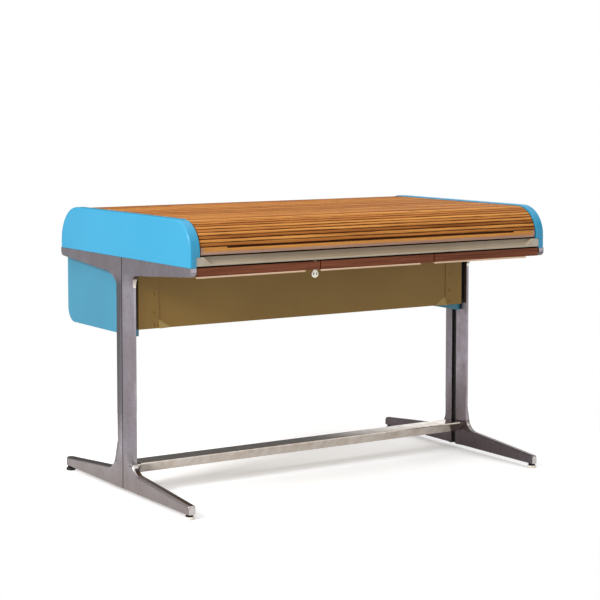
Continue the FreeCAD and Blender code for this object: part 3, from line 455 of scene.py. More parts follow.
@dataclass(frozen=True)
class ShadedHollow(Moulded):
    """Extruded vinyl with a hollow that fingers reach into.

    To the eye: as the rest of the extrusion, with painted shade inside the hollow under its lip, most of all
    near its middle, and a painted highlight on the ends beyond the hollow.
    """

    hollow_shade: str = "#856847"
    hollow_shade_share: float = 0.52
    front_mm: float = 0.0                  # where the piece's front face is, which its maker sets
    top_mm: float = 0.0                    # and its top
    edge_mm: float = 0.4                   # how far in from them the painted shade starts
    full_mm: float = 3.0                   # how far behind the front it is at its darkest
    skim_mm: float = 0.1                   # how far under the top there is none
    half_mm: float = 500.0
    middle_share: float = 0.35             # of the half length, where it starts to fade
    end_share: float = 0.45                # of the painted shade, that is left at the hollow's ends
    end_highlight: str = "#b6ac9c"
    end_highlight_mm: float = 572.0
    end_highlight_fade_mm: float = 12.0

    def dress(self, skin: Skin) -> None:
        """Paint shade into the hollow, by how far a point is behind the front face and under the top one,
        and paint a highlight on the ends.

        Args:
            skin: What gets it.
        """
        super().dress(skin)
        plain = skin.shader.inputs["Base Color"].links[0].from_socket
        parts = skin.add("ShaderNodeSeparateXYZ", {0: skin.place}).outputs
        start, full = ((self.front_mm + depth) * MM for depth in (self.edge_mm, self.full_mm))
        behind = skin.add("ShaderNodeMapRange", {0: parts["Y"], 1: start, 2: full}).outputs[0]
        inputs = {0: parts["Z"], 1: (self.top_mm - self.edge_mm) * MM, 2: (self.top_mm - self.skim_mm) * MM}
        under = skin.add("ShaderNodeMapRange", inputs | {3: 1.0, 4: 0.0}).outputs[0]
        aside = skin.add("ShaderNodeMath", {0: parts["X"]}, operation="ABSOLUTE").outputs[0]
        inputs = {0: aside, 1: self.middle_share * self.half_mm * MM, 2: self.half_mm * MM}
        inputs |= {3: self.hollow_shade_share, 4: self.end_share * self.hollow_shade_share}
        share = skin.add("ShaderNodeMapRange", inputs).outputs[0]
        for place in (behind, under):
            share = skin.add("ShaderNodeMath", {0: share, 1: place}, operation="MULTIPLY").outputs[0]
        # painted shade in the hollow, under the lip
        inputs = {0: share, 6: plain, 7: linear(self.hollow_shade)}
        hollow_shade = skin.add("ShaderNodeMix", inputs, data_type="RGBA").outputs[2]
        # the ends beyond the hollow lighter: painted highlight
        inputs = {0: aside, 1: self.end_highlight_mm * MM, 2: (self.end_highlight_mm + self.end_highlight_fade_mm) * MM}
        end = skin.add("ShaderNodeMapRange", inputs).outputs[0]
        inputs = {0: end, 6: hollow_shade, 7: linear(self.end_highlight)}
        skin.feed("Base Color", skin.add("ShaderNodeMix", inputs, data_type="RGBA").outputs[2])


@dataclass(frozen=True)
class PlatedSteel(Finish):
    """Steel or brass with a thin plated or blackened skin.

    To the eye: an even metal with a fine lengthwise polish, and duller marks where it has been handled.
    """

    colour: str = "#b8b8bc"
    tarnish: str = "#8a8a8e"
    mark_mm: float = 5.0
    mark_range: Range = (0.45, 0.7)        # of the noise, where marks show
    mark_roughness: float = 0.15           # how much duller a mark is
    polish_mm: Triple = (0.3, 0.3, 6.0)
    polish_depth_mm: float = 0.01

    def dress(self, skin: Skin) -> None:
        """Add the plating's colour, its tarnish and the polish lines.

        Args:
            skin: What gets them.
        """
        marks = skin.mottle((self.mark_mm,) * 3, 4.0, 0.6)
        inputs = {0: marks, 1: self.mark_range[0], 2: self.mark_range[1]}
        marks = skin.add("ShaderNodeMapRange", inputs).outputs[0]
        inputs = {0: marks, 6: linear(self.colour), 7: linear(self.tarnish)}
        skin.feed("Base Color", skin.add("ShaderNodeMix", inputs, data_type="RGBA").outputs[2])
        inputs = {0: marks, 3: self.roughness, 4: self.roughness + self.mark_roughness}
        skin.feed("Roughness", skin.add("ShaderNodeMapRange", inputs).outputs[0])
        skin.relief(skin.mottle(self.polish_mm, 1.0), self.polish_depth_mm)


@dataclass(frozen=True)
class Woven(Finish):
    """Cotton canvas, glued behind the slats.

    To the eye: a plain weave of dull threads, dark in the gaps between the slats.
    """

    colour: str = "#4a3a28"
    shadow: str = "#1c140c"
    thread_mm: float = 0.8
    thread_depth_mm: float = 0.15
    sway: float = 0.4                      # how far the threads stray from straight lines

    def dress(self, skin: Skin) -> None:
        """Add the two sets of threads.

        Args:
            skin: What gets them.
        """
        inputs = {"Vector": skin.place, "Scale": WAVE_PERIOD / (self.thread_mm * MM), "Distortion": self.sway}
        warp = skin.add("ShaderNodeTexWave", inputs, bands_direction="X").outputs[1]
        weft = skin.add("ShaderNodeTexWave", inputs, bands_direction="Y").outputs[1]
        weave = skin.add("ShaderNodeMath", {0: warp, 1: weft}, operation="MULTIPLY").outputs[0]
        inputs = {0: weave, 6: linear(self.shadow), 7: linear(self.colour)}
        skin.feed("Base Color", skin.add("ShaderNodeMix", inputs, data_type="RGBA").outputs[2])
        skin.relief(weave, self.thread_depth_mm)


class Slot(Enum):
    """The desk's finishes, by the record's names for them."""

    CAST = "cast_aluminium"
    BRIGHT = "bright_aluminium"
    STRIP = "dark_strip"
    GLIDE = "glide_nylon"
    BLACK_STEEL = "black_steel"
    ZINC = "zinc_steel"
    BLUE = "blue_lacquer"
    TAUPE = "taupe_edge"
    LAMINATE = "white_laminate"
    SLATS = "walnut_tambour"
    FRONTS = "walnut_front"
    PULL = "pale_pull"
    TRAY = "grey_tray"
    OLIVE = "olive_lacquer"
    LOCK = "nickelled_brass"


FINISHES: dict[Slot, Finish] = {
    Slot.CAST: AgedAluminium(
        "aged cast aluminium", roughness=0.24, metallic=1.0, clean="#9b959d", cloudy="#8d8489",
        stain_and_shade="#8f847e", spot_mm=18.0, spot_share=0.14, groove_half_mm=1.78,
    ),
    Slot.BRIGHT: AgedAluminium(
        "buffed drawn aluminium", roughness=0.12, metallic=1.0, clean="#f0e9e3", cloudy="#cfbfb0",
        stain_and_shade="#dccfc2", cloud_mm=30.0, spot_mm=5.0, spot_share=0.12, scratch_mm=(12.0, 0.7, 0.7),
        roughness_spread=0.06,
    ),
    Slot.STRIP: Moulded("black rubber", roughness=0.6, colour="#141312", worn="#201e1c"),
    Slot.GLIDE: Moulded("off-white nylon", roughness=0.42, colour="#e9e4dc", worn="#d8d0c4"),
    Slot.BLACK_STEEL: PlatedSteel(
        "blackened steel", roughness=0.42, metallic=1.0, colour="#1a1918", tarnish="#2a2826",
    ),
    Slot.ZINC: PlatedSteel(
        "zinc-plated steel", roughness=0.32, metallic=1.0, colour="#c2c4c6", tarnish="#96989a",
    ),
    Slot.BLUE: Lacquer(
        "sky blue lacquer", roughness=0.32, coat=0.04, specular=0.4, colour="#2c93ba", drift="#278fb6",
    ),
    # painted shade in the hollow and a painted highlight on its ends
    Slot.TAUPE: ShadedHollow(
        "extruded taupe vinyl", roughness=0.4, specular=0.35, colour="#b2a692", worn="#a39782",
        grain_mm=(60.0, 0.8, 0.8), grain_depth_mm=0.01,
    ),
    Slot.LAMINATE: Moulded(
        "white laminate", roughness=0.45, colour="#e8e6e0", worn="#e0ddd6", cloud_mm=30.0,
    ),
    # gap_shade: painted shade along each slat's long edges
    Slot.SLATS: Walnut(
        "oiled walnut slats", roughness=0.55, specular=0.06, dark="#6b3811", middle="#ad6b32",
        light="#da9a50", streak_mm=2.2, tone_share=0.26, contrast=0.16, gap_shade="#4a230d", gap_shade_share=0.55,
        gap_shade_drift=0.4,
    ),
    Slot.FRONTS: Walnut(
        "stained walnut", roughness=0.45, specular=0.15, dark="#3a1a0b", middle="#733e27",
        light="#8e5536", streak_mm=2.2, streak_length_mm=220.0,
    ),
    Slot.PULL: Walnut(
        "bleached ash", roughness=0.5, specular=0.3, dark="#b09070", middle="#d4b698", light="#e4cbb0",
        pore_share=0.2,
    ),
    Slot.TRAY: Moulded("moulded grey plastic", roughness=0.5, colour="#6e6e6c", worn="#646462"),
    Slot.OLIVE: Lacquer(
        "olive enamel", roughness=0.42, specular=0.25, colour="#957439", drift="#8a6a31",
        peel_depth_mm=0.02,
    ),
    Slot.LOCK: PlatedSteel(
        "nickelled brass", roughness=0.3, metallic=0.4, colour="#efece2", tarnish="#d2ccb8",
    ),
}
# The bin ends' blue, darker than the cheeks': painted shade under the worktop.
SHADED_BLUE = Lacquer(
    "blue enamel on sheet steel", roughness=0.36, coat=0.1, colour="#2f839f", drift="#2b7b97",
)
# The leg faces towards the other leg, darker and darkest near the floor: painted shade under the desk.
INNER_SHADE_CAST = replace(
    FINISHES[Slot.CAST], name="unbuffed cast aluminium", roughness=0.3, stain_and_shade="#56494a",
    stain_and_shade_height_mm=260.0,
)
# The legs' front faces, bright: painted highlight.
FRONT_HIGHLIGHT_CAST = replace(
    FINISHES[Slot.CAST], name="cast aluminium rubbed bright", roughness=0.2, clean="#ddd4ca",
    cloudy="#c8bcb2", stain_and_shade="#c6c2c4",
)
# The toes' sloping faces, lighter: painted light patches.
TOE_LIGHT = Lacquer("rubbed olive enamel", roughness=0.4, colour="#c0a266", drift="#b89a5e")
# The finger groove's sunk faces, near-black: painted shade inside the recess.
GROOVE_SHADE = Moulded(
    "hand-rubbed groove", roughness=0.6, specular=0.1, colour="#42200c", worn="#5a2c10",
    grain_mm=(30.0, 0.8, 0.8),
)
# Mauve-grey walnut: painted shade on the lip's lower face, which faces down; also laid on the lip's ends.
LIP_GREYED = Walnut(
    "walnut worn pale by hands", roughness=0.5, specular=0.3, dark="#8a6250", middle="#b08a76",
    light="#c8a590", pore_share=0.2,
)
# Slat ends near-black: painted shade in the gap between the slats and the cheeks.
TONGUE_SHADE = Moulded("waxed slat ends", roughness=0.6, colour="#1a120c", worn="#2a1d12")
CANVAS = Woven("glued canvas", roughness=0.9, colour="#6a4220", shadow="#3a200e")


# --- mesh work -----------------------------------------------------------------------------------------
def link(name: str, mesh: Mesh) -> Piece:
    """Put a mesh in the scene as an object at the origin.

    Args:
        name: Name of the object.
        mesh: The mesh.

    Returns:
        The object.
    """
    piece = bpy.data.objects.new(name, mesh)
    bpy.context.scene.collection.objects.link(piece)
    return piece


def final_mesh(piece: Piece) -> Mesh:
    """Turn an object with modifiers into a plain mesh, and take the object away.

    Args:
        piece: The object.

    Returns:
        Its mesh with the modifiers applied.
    """
    graph = bpy.context.evaluated_depsgraph_get()
    made = piece.evaluated_get(graph)
    mesh = bpy.data.meshes.new_from_object(made, preserve_all_data_layers=True, depsgraph=graph)
    mesh.name = piece.name
    bpy.data.objects.remove(piece)
    return mesh


def whole_faces(source: Mesh, merge: float = MERGE_DISTANCE,
                reshape: Callable[[bmesh.types.BMesh], None] | None = None) -> Mesh:
    """Copy a mesh of loose triangles into one with shared corners and whole flat faces.

    Args:
        source: The mesh to copy, which stays as it is.
        merge: How near corners are that become one.
        reshape: What is done to the copy's triangles before they are joined into whole faces.

    Returns:
        The new mesh, shaded smooth.
    """
    mesh = bpy.data.meshes.new("blank")
    mesh.from_pydata([v.co for v in source.vertices], [], [list(p.vertices) for p in source.polygons])
    work = bmesh.new()
    work.from_mesh(mesh)
    bmesh.ops.remove_doubles(work, verts=work.verts, dist=merge)
    if reshape:
        reshape(work)
        bmesh.ops.remove_doubles(work, verts=work.verts, dist=merge)
    bmesh.ops.dissolve_limit(work, angle_limit=FLAT_ANGLE, verts=work.verts, edges=work.edges)
    for face in work.faces:
        face.smooth = True
    work.to_mesh(mesh)
    work.free()
    return mesh


def eased(name: str, mesh: Mesh, radius_mm: float) -> Mesh:
    """Round the sharp edges of a mesh.

    Args:
        name: Name of the result.
        mesh: The mesh, with shared corners.
        radius_mm: How far the rounding reaches from each edge.

    Returns:
        The rounded mesh.
    """
    mark_long_edges(mesh)
    piece = link(name, mesh)
    bevel = piece.modifiers.new("ease", "BEVEL")
    bevel.limit_method = "WEIGHT"
    bevel.width = radius_mm * MM
    bevel.segments = EASE_FLATS
    bevel.use_clamp_overlap = False
    bevel.harden_normals = True
    return final_mesh(piece)


def mark_long_edges(mesh: Mesh) -> None:
    """Mark the sharp edges that the easing rounds: all but the rims of small holes and other small forms.

    Args:
        mesh: The mesh, with shared corners.
    """
    work = bmesh.new()
    work.from_mesh(mesh)
    weight = work.edges.layers.float.new("bevel_weight_edge")
    sharp = {edge for edge in work.edges if edge.is_manifold and edge.calc_face_angle() > SHARP_ANGLE}
    for edge in work.edges:
        edge.smooth = edge not in sharp
    for run in joined_runs(sharp):
        corners = [vertex.co for edge in run for vertex in edge.verts]
        reach = max(max(c[axis] for c in corners) - min(c[axis] for c in corners) for axis in range(3))
        for edge in run:
            edge[weight] = float(reach > SMALL_RIM)
    work.to_mesh(mesh)
    work.free()


def joined_runs(edges: set[bmesh.types.BMEdge]) -> list[list[bmesh.types.BMEdge]]:
    """Sort edges into runs that touch each other.

    Args:
        edges: The edges to sort.

    Returns:
        The runs, each a list of edges.
    """
    left = set(edges)
    runs = []
    while left:
        run = [left.pop()]
        for edge in run:
            touching = {other for vertex in edge.verts for other in vertex.link_edges} & left
            left -= touching
            run.extend(touching)
        runs.append(run)
    return runs


def smooth_step(share: float) -> float:
    """Ease a share from 0 to 1, and hold it there."""
    held = min(1.0, max(0.0, share))
    return held * held * (3 - 2 * held)


def turned(outline_mm: list[tuple[float, float]], steps: int = 32) -> Mesh:
    """A turned piece: an outline spun round Z.

    Args:
        outline_mm: (radius, height) points, bottom to top, that start and end on the axis.
        steps: How many flats go round it.

    Returns:
        The closed mesh, shaded smooth.
    """
    work = bmesh.new()
    row = [work.verts.new((radius * MM, 0.0, height * MM)) for radius, height in outline_mm]
    edges = [work.edges.new(pair) for pair in zip(row, row[1:])]
    whole_turn = {"axis": (0, 0, 1), "cent": (0, 0, 0), "angle": math.tau, "use_merge": True}
    bmesh.ops.spin(work, geom=row + edges, steps=steps, **whole_turn)
    bmesh.ops.remove_doubles(work, verts=work.verts, dist=MERGE_DISTANCE)
    bmesh.ops.recalc_face_normals(work, faces=work.faces)
    mesh = bpy.data.meshes.new("turned")
    work.to_mesh(mesh)
    work.free()
    mesh.shade_smooth()
    mesh.set_sharp_from_angle(angle=SHARP_ANGLE)
    return mesh


class Recipe:
    """A Geometry Nodes tree with named inputs, which makes plain meshes."""

    def __init__(self, name: str, sockets: dict[str, str]) -> None:
        """Start the tree.

        Args:
            name: Name of the tree.
            sockets: Blender's kind of socket for each named input.
        """
        self.tree = bpy.data.node_groups.new(name, "GeometryNodeTree")
        self.tree.interface.new_socket("Geometry", in_out="INPUT", socket_type="NodeSocketGeometry")
        self.codes: dict[str, str] = {}
        for label, kind in sockets.items():
            made = self.tree.interface.new_socket(label, in_out="INPUT", socket_type=kind)
            self.codes[label] = made.identifier
        self.tree.interface.new_socket("Geometry", in_out="OUTPUT", socket_type="NodeSocketGeometry")
        self.entry = self.add("NodeGroupInput").outputs

    def add(self, kind: str, inputs: dict | None = None, **settings: object) -> Node:
        """Add one node to this recipe, as add() does."""
        return add(self.tree, kind, inputs, **settings)

    def close(self, instances: Socket, marked: str = "") -> None:
        """End the tree: make the copies real, and give them their material.

        Args:
            instances: The socket with the copies.
            marked: Name of an attribute whose faces get the "Marked material" input instead.
        """
        made = self.add("GeometryNodeRealizeInstances", {0: instances}).outputs[0]
        inputs = {"Geometry": made, "Material": self.entry["Material"]}
        made = self.add("GeometryNodeSetMaterial", inputs).outputs[0]
        if marked:
            chosen = self.add("GeometryNodeInputNamedAttribute", {"Name": marked}, data_type="BOOLEAN")
            inputs = {"Geometry": made, "Material": self.entry["Marked material"]}
            inputs["Selection"] = chosen.outputs[0]
            made = self.add("GeometryNodeSetMaterial", inputs).outputs[0]
        self.add("NodeGroupOutput", {0: made})

    def make(self, name: str, host: Mesh, values: dict) -> Mesh:
        """Run the recipe.

        Args:
            name: Name of the mesh that it makes.
            host: The mesh that the tree starts from.
            values: The value of each named input.

        Returns:
            A plain mesh.
        """
        piece = link(name, host)
        modifier = piece.modifiers.new(name, "NODES")
        modifier.node_group = self.tree
        for label, value in values.items():
            modifier[self.codes[label]] = value
        return final_mesh(piece)


@dataclass
class Bench:
    """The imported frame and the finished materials, which every sub-assembly works with."""

    frame: dict
    materials: dict[Slot | Finish, Material] = field(default_factory=dict)

    def finish(self, slot: Slot) -> Material:
        """The material of a slot, built when it is first asked for.

        Args:
            slot: The slot.

        Returns:
            Its material.
        """
        if slot not in self.materials:
            self.materials[slot] = FINISHES[slot].material()
        return self.materials[slot]

    def special(self, finish: Finish) -> Material:
        """The material of a finish that no slot names, built when it is first asked for.

        Args:
            finish: The finish.

        Returns:
            Its material.
        """
        if finish not in self.materials:
            self.materials[finish] = finish.material()
        return self.materials[finish]

    def paint(self, node: str, slot: Slot) -> None:
        """Give a CAD node that shows as it is its material.

        Args:
            node: The CAD node.
            slot: Its finish.
        """
        mesh = self.frame["nodes"][node].data
        mesh.materials.clear()
        mesh.materials.append(self.finish(slot))
        LOG.info("%s: %s", node, FINISHES[slot].name)

    def keep(self, name: str, mesh: Mesh, slot: Slot, *nodes: str) -> Piece:
        """Let a finished mesh stand for CAD nodes of one body.

        Args:
            name: Name of the piece.
            mesh: Its mesh, in place.
            slot: Its finish.
            nodes: The CAD nodes that it stands for.

        Returns:
            The piece.
        """
        if not mesh.materials or mesh.materials[0] is None:
            mesh.materials.clear()
            mesh.materials.append(self.finish(slot))
        mesh.name = name
        piece = link(name, mesh)
        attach(piece, self.frame["nodes"][nodes[0]]["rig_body"])
        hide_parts(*nodes)
        LOG.info("%s: %s, %d faces", name, FINISHES[slot].name, len(mesh.polygons))
        return piece

    def ease(self, node: str, slot: Slot, radius_mm: float) -> Piece:
        """Let a copy of a CAD node with eased edges stand for it."""
        blank = whole_faces(self.frame["nodes"][node].data)
        return self.keep(node + "_eased", eased(node, blank, radius_mm), slot, node)

    def ease_all(self, slot: Slot, radius_mm: float, *nodes: str) -> None:
        """Ease the edges of several nodes with one finish."""
        for node in nodes:
            self.ease(node, slot, radius_mm)


def scatter_recipe() -> Recipe:
    """Copies of one piece, at each point of the host mesh.

    Returns:
        The recipe, with inputs for the piece, its turn and its material.
    """
    sockets = {"Piece": "NodeSocketObject", "Turn": "NodeSocketRotation", "Material": "NodeSocketMaterial"}
    recipe = Recipe("copies at places", sockets)
    piece = recipe.add("GeometryNodeObjectInfo", {"Object": recipe.entry["Piece"]}).outputs["Geometry"]
    inputs = {"Points": recipe.entry["Geometry"], "Instance": piece, "Rotation": recipe.entry["Turn"]}
    recipe.close(recipe.add("GeometryNodeInstanceOnPoints", inputs).outputs[0])
    return recipe


def scatter(recipe: Recipe, name: str, shape: Mesh, places: list[Vector], turn: Euler,
            material: Material) -> Mesh:
    """Set copies of a small piece at places.

    Args:
        recipe: The recipe from scatter_recipe().
        name: Name of the new mesh.
        shape: The small piece's mesh.
        places: Where its copies go.
        turn: How each copy is turned.
        material: Its material.

    Returns:
        One mesh with all the copies.
    """
    host = bpy.data.meshes.new(name)
    host.from_pydata(places, [], [])
    sample = link(name + "_sample", shape)
    mesh = recipe.make(name, host, {"Piece": sample, "Turn": turn, "Material": material})
    bpy.data.objects.remove(sample)
    return mesh


# --- sub-assemblies ------------------------------------------------------------------------------------
@dataclass
class Legs:
    """The two cast legs, the dark strips in their channels, and the glides under their feet."""

    bench: Bench
    copies: Recipe
    casting_edge_mm: float = 0.5
    run_out_mm: float = 0.15               # a step this low, where a facet runs out, is closed
    highlight_over_mm: float = 600.0          # height from which the post's front faces are painted bright as a highlight
    highlight_reach_mm: float = 105.0         # and how far forward of its middle that reaches
    foot_root_mm: float = 55.0
    arm_root_mm: float = 50.0
    facet_start_mm: float = 17.0
    facet_blend_mm: float = 60.0
    facet_depth_mm: float = 10.5
    facet_half_mm: float = 55.0
    groove_mm: float = 3.6
    arm_fillet_mm: float = 38.0
    foot_fade_mm: float = 24.0
    past_root_mm: float = 10.0             # how far into arm and foot the softened facets run
    grid_mm: float = 6.0                   # step of the grid that divides the skin there
    grid_rows: int = 9
    grid_columns: tuple[int, ...] = (-6, -3, 0, 1, 2, 4, 6)  # in steps, from the facet's edge
    inward: float = 0.3                    # how squarely a face looks inwards, to get the painted shade
    forward: float = 0.75                  # and how squarely a face looks forwards, to be painted bright as a highlight
    strip_edge_mm: float = 0.5
    pad_edge_mm: float = 1.6
    pad_crown_mm: float = 0.5

    def build(self) -> None:
        """Dress the legs, strips and glides."""
        for side, node in ((-1, "leg_left"), (1, "leg_right")):
            source = self.bench.frame["nodes"][node].data
            blank = whole_faces(source, self.run_out_mm * MM, self.soften_run_outs)
            mesh = eased(node, blank, self.casting_edge_mm)
            self.bench.keep(node + "_eased", mesh, Slot.CAST, node)
            # paint shade on the inner faces and a highlight on the front faces
            self.wear(mesh, side)
        self.bench.ease("channel_strips", Slot.STRIP, self.strip_edge_mm)
        self.bench.ease("glide_stems", Slot.BLACK_STEEL, self.strip_edge_mm)
        self.glide_pads()

    def soften_run_outs(self, work: bmesh.types.BMesh) -> None:
        """Let the posts' facets run out inside the fillets in a soft curve, as the bowl of a spoon does.

        Args:
            work: The leg's mesh.
        """
        low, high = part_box("leg_left")
        ends = (
            (low.z / MM + self.foot_root_mm, -1, self.extra_at_foot),
            (high.z / MM - self.arm_root_mm, 1, self.extra_at_arm),
        )
        outer = -low.x / MM
        for root, way, extra in ends:
            self.part_skin(work, outer, root, way)
            for vertex in work.verts:
                beyond = way * (vertex.co.z / MM - root)
                depth = outer - abs(vertex.co.x) / MM
                across = abs(vertex.co.y) / MM
                in_zone = -self.facet_start_mm - self.facet_blend_mm < beyond < self.past_root_mm
                if in_zone and across > self.groove_mm and depth < self.facet_depth_mm + self.run_out_mm:
                    deeper = depth + extra(across, beyond, depth)
                    vertex.co.x = math.copysign((outer - deeper) * MM, vertex.co.x)

    def part_skin(self, work: bmesh.types.BMesh, outer: float, root: float, way: int) -> None:
        """Divide a leg's outer skin near a root, so that its facets can be bent there.

        Args:
            work: The leg's mesh.
            outer: Where the skin lies, outwards from the desk's middle, in millimetres.
            root: Height of the arm's or foot's root, in millimetres.
            way: 1 where the arm or foot lies over the root, -1 where it lies under it.
        """
        heights = [root + way * (self.past_root_mm - self.grid_mm * step) for step in range(self.grid_rows)]
        planes = [((0, 0, height * MM), (0, 0, 1)) for height in heights]
        acrosses = [self.facet_half_mm + self.grid_mm * step for step in self.grid_columns]
        planes += [((0, side * across * MM, 0), (0, 1, 0)) for side in (-1, 1) for across in acrosses]
        for place, normal in planes:
            near = [face for face in work.faces if self.on_skin(face, outer, root)]
            edges = {edge for face in near for edge in face.edges}
            corners = {vertex for face in near for vertex in face.verts}
            bmesh.ops.bisect_plane(work, geom=[*near, *edges, *corners], plane_co=place, plane_no=normal)

    def on_skin(self, face: bmesh.types.BMFace, outer: float, root: float) -> bool:
        """Whether a face lies on the leg's outer skin, near the root of its arm or foot."""
        shallow = all(outer - abs(v.co.x) / MM < self.facet_depth_mm + self.run_out_mm for v in face.verts)
        return shallow and any(abs(v.co.z / MM - root) < self.facet_blend_mm for v in face.verts)

    def cut_depth(self, across: float, beyond: float) -> float:
        """How deep the facet's straight cut is, in millimetres.

        Args:
            across: How far the point is from the post's middle.
            beyond: How far it is past the root, into the arm or the foot.

        Returns:
            The depth, which keeps its end value past the cut's edge.
        """
        slope = (min(across, self.facet_half_mm) - self.groove_mm) / (self.facet_half_mm - self.groove_mm)
        ramp = min(1.0, max(0.0, (-beyond - self.facet_start_mm) / self.facet_blend_mm))
        return self.facet_depth_mm * ramp * slope

    def extra_at_arm(self, across: float, beyond: float, depth: float) -> float:
        """How much deeper a point near the arm's root gets, so that the facet fades over the whole fillet.

        Args:
            across: How far the point is from the post's middle.
            beyond: How far it is past the root, into the arm or the foot.
            depth: How deep it lies already.

        Returns:
            The extra depth, in millimetres.
        """
        inside = across < self.facet_half_mm + self.run_out_mm and depth > 0
        slope = min(1.0, (across - self.groove_mm) / (self.facet_half_mm - self.groove_mm))
        fade = smooth_step((self.past_root_mm - beyond) / (self.past_root_mm + self.arm_fillet_mm))
        fade *= smooth_step((self.facet_half_mm + self.arm_fillet_mm - across) / self.arm_fillet_mm)
        cut = self.cut_depth(across, beyond) if inside else 0.0
        return max(0.0, self.facet_depth_mm * slope * fade - max(cut, depth))

    def extra_at_foot(self, across: float, beyond: float, depth: float) -> float:
        """How much deeper a point near the foot's root gets, so that the facet's edge leaves no ledge.

        Args:
            across: How far the point is from the post's middle.
            beyond: How far it is past the root, into the arm or the foot.
            depth: How deep it lies already.

        Returns:
            The extra depth, in millimetres.
        """
        cut = self.cut_depth(across, beyond)
        if across < self.facet_half_mm - self.run_out_mm or depth > cut - self.run_out_mm / 2:
            return 0.0
        fade = smooth_step(1 - (across - self.facet_half_mm) / self.foot_fade_mm)
        return (cut - depth) * fade

    def wear(self, mesh: Mesh, side: int) -> None:
        """Paint the faces towards the other leg darker as shade, and the front faces bright as a highlight.

        Args:
            mesh: The leg's mesh.
            side: 1 for the leg at +X, -1 for the one at -X.
        """
        mesh.materials.append(self.bench.special(INNER_SHADE_CAST))
        mesh.materials.append(self.bench.special(FRONT_HIGHLIGHT_CAST))
        rail_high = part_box("foot_rail")[1].z
        for face in mesh.polygons:
            high_up = face.center.z > self.highlight_over_mm * MM
            beside_post = high_up and face.center.y > -self.highlight_reach_mm * MM
            highlighted = beside_post or face.center.z < rail_high
            # inner faces get the painted shade, front faces the painted highlight
            if face.normal.x * side < -self.inward:
                face.material_index = 1
            elif face.normal.y < -self.forward and highlighted:
                face.material_index = 2

    def glide_pads(self) -> None:
        """Turn the pads: crowned buttons with rounded rims, white at the front and black at the rear."""
        low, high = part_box("glide_pads")
        stems_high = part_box("glide_stems")[1]
        neck = self.neck_radius_mm()
        radius = (high.x - stems_high.x) / MM + neck
        out = high.x / MM - radius
        deep = (high.y - low.y) / MM / 2 - radius
        shape = self.pad_shape(radius, neck, (high.z - low.z) / MM)
        for end, place, slot in ((-1, "front", Slot.GLIDE), (1, "rear", Slot.STRIP)):
            name = "glide_buttons_" + place
            places = [Vector((side * out, end * deep, 0.0)) * MM for side in (-1, 1)]
            mesh = scatter(self.copies, name, shape.copy(), places, Euler((0, 0, 0)), self.bench.finish(slot))
            self.bench.keep(name, mesh, slot, "glide_pads")

    def pad_shape(self, radius: float, neck: float, height: float) -> Mesh:
        """One pad, in millimetres: flat under the middle, rounded at its rims and crowned on top.

        Args:
            radius: The pad's radius.
            neck: The radius of the neck that stands on it.
            height: Its height.

        Returns:
            Its mesh, with the middle of its lower face at the origin.
        """
        edge = self.pad_edge_mm
        outline = [(0.0, 0.0), (radius - edge, 0.0)]
        outline += [self.rim(radius - edge, edge, edge, angle) for angle in (-60, -30, 0)]
        shoulder = height - edge - self.pad_crown_mm
        outline += [self.rim(radius - edge, shoulder, edge, angle) for angle in (0, 30, 60, 90)]
        outline += [(neck, height), (0.0, height)]
        return turned(outline)

    def neck_radius_mm(self) -> float:
        """Radius of a glide's neck, from the front ones' reach along Y.

        Returns:
            The radius, in millimetres.
        """
        mesh = self.bench.frame["nodes"]["glide_stems"].data
        front = [v.co.y for v in mesh.vertices if v.co.y < 0]
        return (max(front) - min(front)) / MM / 2

    @staticmethod
    def rim(radius: float, height: float, edge: float, angle: float) -> tuple[float, float]:
        """A point of a rounded rim, at an angle over the horizontal."""
        turn = math.radians(angle)
        return radius + edge * math.cos(turn), height + edge * math.sin(turn)


@dataclass
class FootRail:
    """The foot rail, its end blocks and the studs inside them."""

    bench: Bench
    edge_mm: float = 0.4

    def build(self) -> None:
        """Dress the rail and its blocks."""
        self.bench.ease("foot_rail", Slot.BRIGHT, self.edge_mm)
        self.bench.ease("foot_rail_blocks", Slot.BRIGHT, self.edge_mm)
        self.bench.paint("foot_rail_studs", Slot.ZINC)


@dataclass
class Cheeks:
    """The two painted cheeks and the screws that hold them to the arms."""

    bench: Bench
    edge_mm: float = 1.0

    def build(self) -> None:
        """Dress the cheeks and their screws."""
        self.bench.ease_all(Slot.BLUE, self.edge_mm, "cheek_left", "cheek_right")
        self.bench.paint("cheek_screws", Slot.ZINC)


